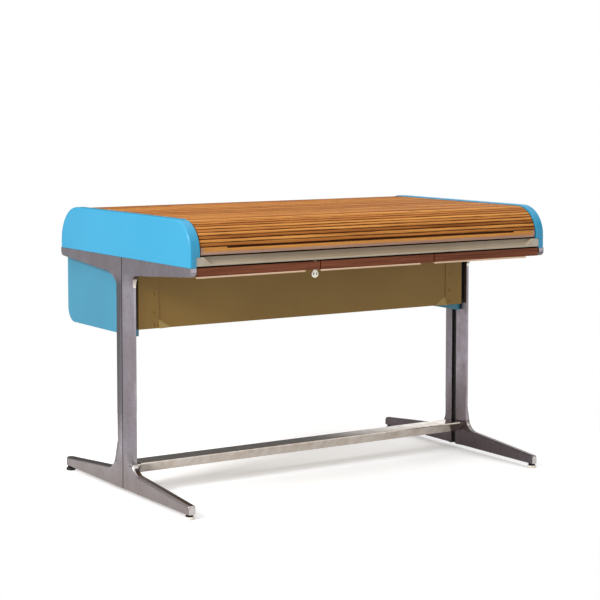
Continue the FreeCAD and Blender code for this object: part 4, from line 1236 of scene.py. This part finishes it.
@dataclass
class Worktop:
    """The laminated board and its hollowed front edge."""

    bench: Bench
    edge_mm: float = 0.7
    margin_mm: float = 35.0                # from the edge's end to its hollow
    hollow_mm: float = 12.0                # how deep the hollow is
    spare_mm: float = 1.0                  # how much further in its end's corners are looked for
    lip_mm: float = 4.0                    # height of the lip under it
    slant: float = 1.2                     # how far the hollow's ends lean, for each millimetre up

    def build(self) -> None:
        """Dress the board and the edge."""
        self.bench.ease("worktop", Slot.LAMINATE, self.edge_mm)
        node = "worktop_edge"
        low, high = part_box(node)
        # the painted shade in the hollow is placed from the edge's own front and top
        vinyl = replace(FINISHES[Slot.TAUPE], front_mm=low.y / MM, top_mm=high.z / MM)
        self.bench.materials[Slot.TAUPE] = vinyl.material()
        blank = whole_faces(self.bench.frame["nodes"][node].data, reshape=self.slant_ends)
        self.bench.keep(node + "_eased", eased(node, blank, self.edge_mm), Slot.TAUPE, node)

    def slant_ends(self, work: bmesh.types.BMesh) -> None:
        """Slant both ends of the hollow, which is longer at its top than at its lip.

        Args:
            work: The edge's mesh.
        """
        low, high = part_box("worktop_edge")
        middle = (low.z + high.z) / 2 + self.lip_mm / 2 * MM
        furthest = (self.margin_mm + self.hollow_mm + self.spare_mm) * MM
        for vertex in work.verts:
            from_end = high.x - abs(vertex.co.x)
            if self.margin_mm * MM - MERGE_DISTANCE < from_end < furthest:
                away = abs(vertex.co.x) + self.slant * (vertex.co.z - middle)
                vertex.co.x = math.copysign(away, vertex.co.x)


@dataclass
class Drawers:
    """Three drawers: walnut front, pale pull and moulded tray, and the runners that they hang on."""

    bench: Bench
    front_edge_mm: float = 0.6
    pull_edge_mm: float = 0.4
    tray_edge_mm: float = 0.6

    def build(self) -> None:
        """Dress the drawers and their runners."""
        for place in ("left", "middle", "right"):
            self.bench.ease("drawer_front_" + place, Slot.FRONTS, self.front_edge_mm)
            self.bench.ease("drawer_pull_" + place, Slot.PULL, self.pull_edge_mm)
            self.bench.ease("drawer_tray_" + place, Slot.TRAY, self.tray_edge_mm)
        self.bench.ease("drawer_runners", Slot.TRAY, self.tray_edge_mm)


@dataclass
class Lock:
    """The left drawer's lock and its key."""

    bench: Bench
    edge_mm: float = 0.35

    def build(self) -> None:
        """Dress the lock's pieces."""
        self.bench.ease_all(Slot.LOCK, self.edge_mm, "lock_barrel", "lock_plug", "lock_key")
        self.bench.ease("lock_cam", Slot.ZINC, self.edge_mm)


@dataclass
class FileBin:
    """The hanging file bin behind the drawers: panels, brackets and their screws, and file rails."""

    bench: Bench
    copies: Recipe
    panel_edge_mm: float = 0.8
    plate_edge_mm: float = 0.4
    slope: float = 0.1                     # how far a toe's sloping face leans along every axis, at least
    head_radius_mm: float = 4.5
    head_height_mm: float = 1.6
    head_spacing: float = 3.0              # two heads are further apart than this many radii
    head_flats: int = 24
    rim_share: float = 0.3                 # of the head's height, under its dome
    dome_turns: Triple = (0.35, 0.7, 1.1)  # angles of the dome's points, in radians
    crown_share: float = 0.2               # of the head's radius, flat on top
    shank_radius_mm: float = 1.95
    shank_length_mm: float = 11.0
    tip_radius_mm: float = 1.6
    tip_length_mm: float = 0.8
    recess_width_mm: float = 0.9
    recess_reach_mm: float = 2.6
    recess_depth_mm: float = 0.9

    def build(self) -> None:
        """Dress the bin."""
        for node in ("bin_end_left", "bin_end_right"):
            end = self.bench.ease(node, Slot.BLUE, self.panel_edge_mm)
            # the bin ends take the darker blue: painted shade
            end.data.materials[0] = self.bench.special(SHADED_BLUE)
        self.bench.ease("bin_front_panel", Slot.OLIVE, self.panel_edge_mm)
        self.bench.ease_all(Slot.OLIVE, self.plate_edge_mm, "bin_floor", "bin_inner_wall")
        self.brackets()
        self.bench.ease("bin_back_panel", Slot.OLIVE, self.panel_edge_mm)
        self.bench.ease("file_rails", Slot.ZINC, self.plate_edge_mm)
        self.screws()

    def brackets(self) -> None:
        """Dress the end plates; the sloping face of each toe is painted lighter, as a patch of light."""
        mesh = self.bench.ease("bin_brackets", Slot.OLIVE, self.plate_edge_mm).data
        mesh.materials.append(self.bench.special(TOE_LIGHT))
        for face in mesh.polygons:
            # sloping toe faces take the painted light
            if min(abs(share) for share in face.normal) > self.slope:
                face.material_index = 1

    def screw_places(self) -> list[Vector]:
        """Where the screws' heads sit on the brackets: the middles of their groups of vertices.

        Returns:
            The middle of each head's underside.
        """
        mesh = self.bench.frame["nodes"]["bracket_screws"].data
        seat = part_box("bracket_screws")[0].y + self.head_height_mm * MM
        heads = [v.co for v in mesh.vertices if v.co.y < seat - self.head_height_mm * MM / 2]
        reach = self.head_spacing * self.head_radius_mm * MM
        groups: dict[tuple[int, int], list[Vector]] = {}
        for point in heads:
            side = 1 if point.x > 0 else -1
            near = [key for key in groups if key[0] == side and abs(key[1] * MM - point.z) < reach]
            key = near[0] if near else (side, round(point.z / MM))
            groups.setdefault(key, []).append(point)
        middles = []
        for points in groups.values():
            xs = [p.x for p in points]
            zs = [p.z for p in points]
            middles.append(Vector(((min(xs) + max(xs)) / 2, seat, (min(zs) + max(zs)) / 2)))
        return middles

    def screws(self) -> None:
        """Domed heads with a cross recess, each on a short shank."""
        blank = link("screw_blank", turned(self.screw_outline(), self.head_flats))
        cutters = [self.cross_bar(along_x) for along_x in (True, False)]
        for cutter in cutters:
            cut = blank.modifiers.new("recess", "BOOLEAN")
            cut.operation = "DIFFERENCE"
            cut.object = cutter
        shape = final_mesh(blank)
        for cutter in cutters:
            bpy.data.objects.remove(cutter)
        turn = Euler((math.radians(90), 0, 0))
        finish = self.bench.finish(Slot.OLIVE)
        mesh = scatter(self.copies, "bracket_screw_set", shape, self.screw_places(), turn, finish)
        self.bench.keep("bracket_screw_set", mesh, Slot.OLIVE, "bracket_screws")

    def screw_outline(self) -> list[tuple[float, float]]:
        """A screw's outline, from its tip to the top of its head, whose underside is at height 0.

        Returns:
            (radius, height) points in millimetres.
        """
        radius, rise = self.head_radius_mm, self.head_height_mm
        tip = -self.shank_length_mm
        outline = [(0.0, tip), (self.tip_radius_mm, tip), (self.shank_radius_mm, tip + self.tip_length_mm)]
        outline += [(self.shank_radius_mm, 0.0), (radius, 0.0), (radius, rise * self.rim_share)]
        for turn in self.dome_turns:
            share = self.rim_share + (1 - self.rim_share) * math.sin(turn)
            outline.append((radius * math.cos(turn), rise * share))
        return outline + [(radius * self.crown_share, rise), (0.0, rise)]

    def cross_bar(self, along_x: bool) -> Piece:
        """One bar of the cross that cuts the recess.

        Args:
            along_x: Whether the bar runs along X, not along Y.

        Returns:
            The bar.
        """
        work = bmesh.new()
        bmesh.ops.create_cube(work, size=MM)
        long, short, deep = 2 * self.recess_reach_mm, self.recess_width_mm, 2 * self.recess_depth_mm
        size = Vector((long, short, deep) if along_x else (short, long, deep))
        bmesh.ops.scale(work, verts=work.verts, vec=size)
        bmesh.ops.translate(work, verts=work.verts, vec=(0, 0, self.head_height_mm * MM))
        mesh = bpy.data.meshes.new("cross_bar")
        work.to_mesh(mesh)
        work.free()
        return link("cross_bar", mesh)


@dataclass
class Tambour:
    """The sliding cover: rounded walnut slats glued to canvas, and a lip with a finger groove."""

    bench: Bench
    pitch_mm: float = 10.0
    gap_mm: float = 1.2
    thickness_mm: float = 6.0
    canvas_mm: float = 0.8
    shoulder_mm: float = 3.0
    slat_edge_mm: float = 1.5
    edge_flats: int = 3
    lip_length_mm: float = 22.0
    lip_edge_mm: float = 0.5
    lip_tone: float = 0.9
    tongue_slack_mm: float = 0.1           # past the slat faces, where the tongues are sure to have begun
    groove_height_mm: float = 4.0
    groove_slack_mm: float = 0.2           # how much lower a face of the groove can lie
    groove_sunk_mm: float = 1.0            # how far behind the front it lies, and how far past its ends
    groove_margin_mm: float = 83.0
    lip_kink_mm: float = 8.3               # height of its lower face, which leans back
    greyed_end_mm: float = 9.0
    greyed_forward: float = 0.5              # how squarely a greyed face looks forwards
    front_radius_mm: float = 81.0
    rear_radius_mm: float = 88.0
    front_sections: int = 6
    rear_sections: int = 14
    slats_per_section: int = 2
    tail_slats: int = 7
    spare_slats: int = 3                   # how much further than the tail the canvas line runs
    arc_step_deg: float = 2.0
    canvas_steps: int = 4                  # of the canvas, for each slat
    recipe: Recipe = field(init=False)
    top_box: tuple[Vector, Vector] = field(init=False)
    face_half_mm: float = field(init=False)
    path_top_mm: float = field(init=False)
    front_y_mm: float = field(init=False)
    rear_y_mm: float = field(init=False)
    start_z_mm: float = field(init=False)

    def build(self) -> None:
        """Make the lip, the slats of every section and the tail."""
        self.recipe = self.slat_recipe()
        self.lay_out_path()
        self.lip()
        start = self.lip_length_mm
        section = self.slats_per_section * self.pitch_mm
        for number in range(self.front_sections):
            self.section("tambour_front_%d" % (number + 1), start, section)
            start += section
        top_length = (self.top_box[1].y - self.top_box[0].y) / MM + self.gap_mm
        self.section("tambour_top", start, top_length)
        start += top_length
        for number in range(self.rear_sections):
            self.section("tambour_rear_%d" % (number + 1), start, section)
            start += section
        self.section("tambour_tail", start, self.tail_slats * self.pitch_mm)

    def lip(self) -> None:
        """Ease the lip, cut from the light side of the plank; paint its tongues and groove near-black and its
        lower face mauve-grey as shade, and grey its ends too.
        """
        node = "tambour_lip"
        blank = self.with_ends(whole_faces(self.bench.frame["nodes"][node].data))
        mesh = self.bench.keep(node + "_eased", eased(node, blank, self.lip_edge_mm), Slot.SLATS, node).data
        tone = mesh.attributes.new("tone", "FLOAT", "POINT")
        tone.data.foreach_set("value", [self.lip_tone] * len(mesh.vertices))
        for finish in (TONGUE_SHADE, GROOVE_SHADE, LIP_GREYED):
            mesh.materials.append(self.bench.special(finish))
        low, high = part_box(node)
        groove_half = (self.face_half_mm - self.groove_margin_mm + self.groove_sunk_mm) * MM
        groove_low = high.z - (self.groove_height_mm + self.groove_slack_mm) * MM
        for face in mesh.polygons:
            aside = abs(face.center.x)
            beside = aside > (self.face_half_mm + self.tongue_slack_mm) * MM
            worn = aside > (self.face_half_mm - self.greyed_end_mm) * MM
            below = face.center.z < low.z + self.lip_kink_mm * MM
            sunk = face.center.y > low.y + self.groove_sunk_mm * MM and face.center.z > groove_low
            if beside:
                face.material_index = 1
            # the groove's sunk faces take the painted shade
            elif aside < groove_half and sunk:
                face.material_index = 2
            # the lower face greyed as painted shade; the ends greyed as well
            elif (worn or below) and face.normal.y < -self.greyed_forward:
                face.material_index = 3

    def with_ends(self, mesh: Mesh) -> Mesh:
        """Part the faces of the lip near its ends, which are painted greyer.

        Args:
            mesh: The lip's mesh, which is changed.

        Returns:
            The same mesh.
        """
        work = bmesh.new()
        work.from_mesh(mesh)
        for side in (-1, 1):
            place = Vector((side * (self.face_half_mm - self.greyed_end_mm) * MM, 0, 0))
            everything = work.verts[:] + work.edges[:] + work.faces[:]
            bmesh.ops.bisect_plane(work, geom=everything, plane_co=place, plane_no=(1, 0, 0))
        work.to_mesh(mesh)
        work.free()
        return mesh

    def lay_out_path(self) -> None:
        """Work out the canvas line from the CAD nodes: up the front, over the top and down the rear."""
        lip_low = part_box("tambour_lip")[0]
        self.top_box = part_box("tambour_top")
        tail_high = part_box("tambour_tail")[1]
        self.face_half_mm = self.half_width("tambour_lip")
        self.path_top_mm = self.top_box[1].z / MM - self.thickness_mm
        self.front_y_mm = lip_low.y / MM + self.thickness_mm
        self.rear_y_mm = tail_high.y / MM - self.thickness_mm
        self.start_z_mm = lip_low.z / MM - self.gap_mm / 2

    def half_width(self, node: str) -> float:
        """Half the width of a node's slat faces, inside its tongues.

        Args:
            node: The CAD node, with its faces towards -Y.

        Returns:
            The half width, in millimetres.
        """
        mesh = self.bench.frame["nodes"][node].data
        face = min(v.co.y for v in mesh.vertices)
        return max(v.co.x for v in mesh.vertices if v.co.y < face + MM) / MM

    def path_points(self) -> list[tuple[float, float]]:
        """Lay the canvas line: straight up, round the front, over the top, round the rear and down.

        Returns:
            (y, z) points in millimetres, from the closed lip's lower edge.
        """
        front_y = self.front_y_mm + self.front_radius_mm
        front_z = self.path_top_mm - self.front_radius_mm
        rear_y = self.rear_y_mm - self.rear_radius_mm
        rear_z = self.path_top_mm - self.rear_radius_mm
        steps = round(90 / self.arc_step_deg)
        turns = [math.radians(90 * number / steps) for number in range(steps + 1)]
        points = [(self.front_y_mm, self.start_z_mm)]
        points += [
            (front_y - self.front_radius_mm * math.cos(t), front_z + self.front_radius_mm * math.sin(t))
            for t in turns
        ]
        points += [
            (rear_y + self.rear_radius_mm * math.sin(t), rear_z + self.rear_radius_mm * math.cos(t))
            for t in turns
        ]
        points.append((self.rear_y_mm, rear_z - self.pitch_mm * (self.tail_slats + self.spare_slats)))
        return points

    def path_mesh(self) -> Mesh:
        """The canvas line as a row of edges.

        Returns:
            Its mesh, in metres.
        """
        points = [(0.0, y * MM, z * MM) for y, z in self.path_points()]
        mesh = bpy.data.meshes.new("canvas_line")
        mesh.from_pydata(points, [(n, n + 1) for n in range(len(points) - 1)], [])
        return mesh

    def slat_recipe(self) -> Recipe:
        """Slats along the canvas line: a rounded bar with a thin tongue at each end.

        Returns:
            The recipe, with inputs for the slats' sizes, where they start, their number and their seed.
        """
        lengths = ["Start", "Pitch", "Width", "Foot", "Face", "Shoulder", "Edge", "Face half", "Tongue half"]
        sockets = {name: "NodeSocketFloat" for name in lengths}
        sockets |= {"Slats": "NodeSocketInt", "Seed": "NodeSocketInt"}
        sockets |= {"Material": "NodeSocketMaterial", "Marked material": "NodeSocketMaterial"}
        recipe = Recipe("slats along the canvas", sockets)
        entry = recipe.entry
        left_face, left_end = (
            recipe.add("ShaderNodeMath", {0: entry[name], 1: -1.0}, operation="MULTIPLY").outputs[0]
            for name in ("Face half", "Tongue half")
        )
        bars = (
            self.bar(recipe, "Face", entry["Edge"], left_face, entry["Face half"]),
            self.bar(recipe, "Shoulder", None, left_end, left_face),
            self.bar(recipe, "Shoulder", None, entry["Face half"], entry["Tongue half"]),
        )
        join = recipe.add("GeometryNodeJoinGeometry")
        for part in bars:
            recipe.tree.links.new(part, join.inputs[0])
        line = recipe.add("GeometryNodeMeshToCurve", {0: entry["Geometry"]}).outputs[0]
        number = recipe.add("GeometryNodeInputIndex").outputs[0]
        along = recipe.add("ShaderNodeMath", {0: number, 1: 0.5}, operation="ADD").outputs[0]
        along = recipe.add("ShaderNodeMath", {0: along, 1: entry["Pitch"]}, operation="MULTIPLY").outputs[0]
        along = recipe.add("ShaderNodeMath", {0: along, 1: entry["Start"]}, operation="ADD").outputs[0]
        sample = recipe.add("GeometryNodeSampleCurve", {"Curves": line, "Length": along}, mode="LENGTH")
        inputs = {"Count": entry["Slats"], "Position": sample.outputs["Position"]}
        points = recipe.add("GeometryNodePoints", inputs)
        inputs = {0: (1.0, 0.0, 0.0), 1: sample.outputs["Tangent"]}
        outward = recipe.add("ShaderNodeVectorMath", inputs, operation="CROSS_PRODUCT").outputs[0]
        inputs = {0: (1.0, 0.0, 0.0), 1: outward}
        axes = {"primary_axis": "Z", "secondary_axis": "X"}
        turn = recipe.add("FunctionNodeAxesToRotation", inputs, **axes).outputs[0]
        inputs = {"Points": points.outputs[0], "Instance": join.outputs[0], "Rotation": turn}
        instances = recipe.add("GeometryNodeInstanceOnPoints", inputs).outputs[0]
        tone = recipe.add("FunctionNodeRandomValue", {"Seed": entry["Seed"]}, data_type="FLOAT").outputs[1]
        inputs = {"Geometry": instances, "Name": "tone", "Value": tone}
        stored = recipe.add("GeometryNodeStoreNamedAttribute", inputs, data_type="FLOAT", domain="INSTANCE")
        recipe.close(stored.outputs[0], "tongue")
        return recipe

    def bar(self, recipe: Recipe, top_name: str, edge: Socket | None, start: Socket, end: Socket) -> Socket:
        """One bar of a slat, which runs along X in the finished slat.

        Args:
            recipe: The recipe that gets the bar's nodes.
            top_name: Name of the recipe's input with the height of its top over the canvas line.
            edge: Radius of its long edges, or None for a tongue, whose edges stay sharp.
            start: Where it starts along X.
            end: Where it ends.

        Returns:
            The socket with its mesh.
        """
        foot, top, width = (recipe.entry[name] for name in ("Foot", top_name, "Width"))
        thickness = recipe.add("ShaderNodeMath", {0: top, 1: foot}, operation="SUBTRACT").outputs[0]
        middle = recipe.add("ShaderNodeMath", {0: top, 1: foot}, operation="ADD").outputs[0]
        middle = recipe.add("ShaderNodeMath", {0: middle, 1: 0.5}, operation="MULTIPLY").outputs[0]
        outline = recipe.add("GeometryNodeCurvePrimitiveQuadrilateral", {0: thickness, 1: width}).outputs[0]
        if edge is not None:
            inputs = {"Curve": outline, "Count": self.edge_flats, "Radius": edge}
            outline = recipe.add("GeometryNodeFilletCurve", inputs, mode="POLY").outputs[0]
        place = recipe.add("GeometryNodeInputPosition").outputs[0]
        across = recipe.add("ShaderNodeSeparateXYZ", {0: place}).outputs["Y"]
        half = recipe.add("ShaderNodeMath", {0: width, 1: 0.5}, operation="MULTIPLY").outputs[0]
        across = recipe.add("ShaderNodeMath", {0: across, 1: half}, operation="DIVIDE").outputs[0]
        inputs = {"Geometry": outline, "Name": "across", "Value": across}
        outline = recipe.add("GeometryNodeStoreNamedAttribute", inputs, data_type="FLOAT").outputs[0]
        shift = recipe.add("ShaderNodeCombineXYZ", {"X": middle}).outputs[0]
        outline = recipe.add("GeometryNodeSetPosition", {"Geometry": outline, "Offset": shift}).outputs[0]
        first, last = (recipe.add("ShaderNodeCombineXYZ", {"Z": x}).outputs[0] for x in (start, end))
        axis = recipe.add("GeometryNodeCurvePrimitiveLine", {"Start": first, "End": last}).outputs[0]
        inputs = {"Curve": axis, "Profile Curve": outline, "Fill Caps": True}
        made = recipe.add("GeometryNodeCurveToMesh", inputs).outputs[0]
        inputs = {"Geometry": made, "Name": "tongue", "Value": edge is None}
        stored = recipe.add("GeometryNodeStoreNamedAttribute", inputs, data_type="BOOLEAN", domain="FACE")
        return stored.outputs[0]

    def section(self, node: str, start_mm: float, length_mm: float) -> None:
        """Make one section's slats and canvas, and let them stand for its CAD node.

        Args:
            node: The CAD node.
            start_mm: Where the section starts on the canvas line.
            length_mm: How long it is.
        """
        count = max(1, round(length_mm / self.pitch_mm))
        pitch = length_mm / count
        tongue_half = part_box(node)[1].x / MM
        values = {
            "Start": start_mm * MM,
            "Pitch": pitch * MM,
            "Width": (pitch - self.gap_mm) * MM,
            "Foot": self.canvas_mm * MM,
            "Face": self.thickness_mm * MM,
            "Shoulder": self.shoulder_mm * MM,
            "Edge": self.slat_edge_mm * MM,
            "Face half": self.face_half_mm * MM,
            "Tongue half": tongue_half * MM,
            "Slats": count,
            "Seed": round(start_mm),
            "Material": self.bench.finish(Slot.SLATS),
            # the tongues take the near-black painted shade
            "Marked material": self.bench.special(TONGUE_SHADE),
        }
        mesh = self.recipe.make(node, self.path_mesh(), values)
        mesh.shade_smooth()
        mesh.set_sharp_from_angle(angle=SHARP_ANGLE)
        self.add_canvas(mesh, start_mm + self.gap_mm / 2, start_mm + length_mm - self.gap_mm / 2)
        self.bench.keep(node + "_slats", mesh, Slot.SLATS, node)

    def on_path(self, distance_mm: float) -> tuple[Vector, Vector]:
        """A point of the canvas line and the way out from it.

        Args:
            distance_mm: How far along the line, from the closed lip's lower edge.

        Returns:
            The point and the outward direction, as (y, z) vectors in millimetres.
        """
        left = distance_mm
        points = [Vector(point) for point in self.path_points()]
        for first, second in zip(points, points[1:]):
            step = second - first
            if left <= step.length:
                break
            left -= step.length
        heading = step.normalized()
        return first + heading * left, Vector((-heading.y, heading.x))

    def add_canvas(self, mesh: Mesh, start_mm: float, end_mm: float) -> None:
        """Add the strip of canvas behind a section's slats to their mesh.

        Args:
            mesh: The slats' mesh.
            start_mm: Where the strip starts on the canvas line.
            end_mm: Where it ends.
        """
        mesh.materials.append(self.bench.special(CANVAS))
        steps = max(1, round((end_mm - start_mm) / (self.pitch_mm / self.canvas_steps)))
        half = self.face_half_mm * MM
        work = bmesh.new()
        work.from_mesh(mesh)
        rows = []
        for number in range(steps + 1):
            foot, outward = self.on_path(start_mm + (end_mm - start_mm) * number / steps)
            top = foot + outward * self.canvas_mm
            corners = [(-half, foot), (half, foot), (half, top), (-half, top)]
            rows.append([work.verts.new((x, point.x * MM, point.y * MM)) for x, point in corners])
        faces = [work.faces.new(rows[0]), work.faces.new(rows[-1][::-1])]
        for first, second in zip(rows, rows[1:]):
            for number in range(4):
                after = (number + 1) % 4
                faces.append(work.faces.new([first[after], first[number], second[number], second[after]]))
        for face in faces:
            face.material_index = len(mesh.materials) - 1
        work.to_mesh(mesh)
        work.free()


# --- studio --------------------------------------------------------------------------------------------
@dataclass(frozen=True)
class Glow:
    """A soft bright patch of the surroundings, such as a window or the cloth of a big lamp."""

    towards: Triple
    full_deg: float                        # it is fully bright up to this angle from its middle
    end_deg: float                         # and gone at this one
    strength: float


@dataclass
class Studio:
    """Pale floor, soft light and the camera."""

    camera_place_mm: Triple = (-2844.1, -4398.2, 1141.6)
    camera_heading_deg: float = 32.818
    camera_dip_deg: float = 4.249
    focal_share: float = 1701.9 / 600      # focal length over the picture's width
    sensor_mm: float = 36.0
    shift_y: float = -0.12
    sight_end: float = 200.0
    floor_half: float = 1.15
    floor_colour: str = "#e2e2e2"
    floor_seen: str = "#f6f6f6"            # the sheet as the camera sees it
    floor_glow: float = 0.22
    room: float = 0.14                     # light from every side that has no glow
    glows: tuple[Glow, ...] = (
        Glow((0.0, 0.0, 1.0), 25, 65, 1.4),
        Glow((0.1, -1.0, 0.3), 20, 60, 0.3),
        Glow((0.54, -0.84, -0.05), 12, 30, 0.9),
        Glow((-1.0, -0.1, 0.35), 22, 60, 0.55),
        Glow((0.88, 0.47, 0.06), 26, 29, 0.95),
        Glow((-0.87, 0.5, -0.1), 10, 60, 0.7),
        Glow((0.0, 0.0, -1.0), 50, 85, 0.35),
    )
    key_strength: float = 160.0
    key_place: Triple = (-4.4, -0.9, 2.7)
    key_size: float = 1.1
    key_aim: Triple = (0.0, 0.0, 0.5)

    def build(self) -> None:
        """Set up floor, light and camera."""
        scene = bpy.context.scene
        scene.view_settings.view_transform = "Standard"
        self.floor()
        self.surroundings(scene)
        self.light("key")
        self.camera(scene)

    def floor(self) -> None:
        """A white sheet on the floor, bright enough to run into the white behind it."""
        half = self.floor_half
        corners = [(-half, -half, 0), (half, -half, 0), (half, half, 0), (-half, half, 0)]
        mesh = bpy.data.meshes.new("floor")
        mesh.from_pydata(corners, [], [(0, 1, 2, 3)])
        floor = link("floor", mesh)
        material = bpy.data.materials.new("white paper")
        material.use_nodes = True
        tree = material.node_tree
        tree.nodes.clear()
        seen = add(tree, "ShaderNodeLightPath").outputs["Is Camera Ray"]
        inputs = {0: seen, 6: linear(self.floor_colour), 7: linear(self.floor_seen)}
        white = add(tree, "ShaderNodeMix", inputs, data_type="RGBA").outputs[2]
        paper = add(tree, "ShaderNodeBsdfDiffuse", {"Color": white}).outputs[0]
        strength = add(tree, "ShaderNodeMapRange", {0: seen, 4: self.floor_glow}).outputs[0]
        glow = add(tree, "ShaderNodeEmission", {"Strength": strength}).outputs[0]
        both = add(tree, "ShaderNodeAddShader", {0: paper, 1: glow}).outputs[0]
        add(tree, "ShaderNodeOutputMaterial", {0: both})
        mesh.materials.append(material)

    def surroundings(self, scene: bpy.types.Scene) -> None:
        """A dim room with soft bright patches; seen past the desk, it is plain white.

        Args:
            scene: The scene that gets it.
        """
        world = bpy.data.worlds.new("studio")
        world.use_nodes = True
        tree = world.node_tree
        tree.nodes.clear()
        direction = add(tree, "ShaderNodeTexCoord").outputs["Generated"]
        total = self.room
        for glow in self.glows:
            towards = tuple(Vector(glow.towards).normalized())
            facing = add(tree, "ShaderNodeVectorMath", {0: direction, 1: towards}, operation="DOT_PRODUCT")
            end, full = (math.cos(math.radians(angle)) for angle in (glow.end_deg, glow.full_deg))
            inputs = {0: facing.outputs[1], 1: end, 2: full, 4: glow.strength}
            bright = add(tree, "ShaderNodeMapRange", inputs).outputs[0]
            total = add(tree, "ShaderNodeMath", {0: total, 1: bright}, operation="ADD").outputs[0]
        seen = add(tree, "ShaderNodeLightPath").outputs["Is Camera Ray"]
        strength = add(tree, "ShaderNodeMix", {0: seen, 2: total, 3: 1.0}).outputs[0]
        light = add(tree, "ShaderNodeBackground", {"Color": linear("#ffffff"), "Strength": strength})
        add(tree, "ShaderNodeOutputWorld", {0: light.outputs[0]})
        scene.world = world

    def light(self, name: str) -> None:
        """A square soft light that faces the desk.

        Args:
            name: Its name.
        """
        data = bpy.data.lights.new(name, "AREA")
        data.size = self.key_size
        data.energy = self.key_strength
        lamp = bpy.data.objects.new(name, data)
        lamp.location = self.key_place
        aim = Vector(self.key_aim) - Vector(self.key_place)
        lamp.rotation_euler = aim.to_track_quat("-Z", "Y").to_euler()
        bpy.context.scene.collection.objects.link(lamp)

    def camera(self, scene: bpy.types.Scene) -> None:
        """The camera in front of the desk's left end, at eye height.

        Args:
            scene: The scene that gets it.
        """
        data = bpy.data.cameras.new("camera")
        data.sensor_width = self.sensor_mm
        data.lens = self.focal_share * self.sensor_mm
        data.shift_y = self.shift_y
        data.clip_end = self.sight_end
        camera = bpy.data.objects.new("camera", data)
        camera.location = Vector(self.camera_place_mm) * MM
        turn = (math.radians(90 - self.camera_dip_deg), 0, -math.radians(self.camera_heading_deg))
        camera.rotation_euler = turn
        scene.collection.objects.link(camera)
        scene.camera = camera


def main() -> None:
    """Load the frame, dress every sub-assembly and set up the studio."""
    logging.basicConfig(level=logging.INFO, format="%(message)s")
    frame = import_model()
    bench = Bench(frame)
    copies = scatter_recipe()
    parts = [
        Legs(bench, copies), FootRail(bench), Cheeks(bench), Worktop(bench), Drawers(bench), Lock(bench),
        FileBin(bench, copies), Tambour(bench), Studio(),
    ]
    for part in parts:
        part.build()
        LOG.info("%s done", type(part).__name__)


if __name__ == "__main__":
    main()
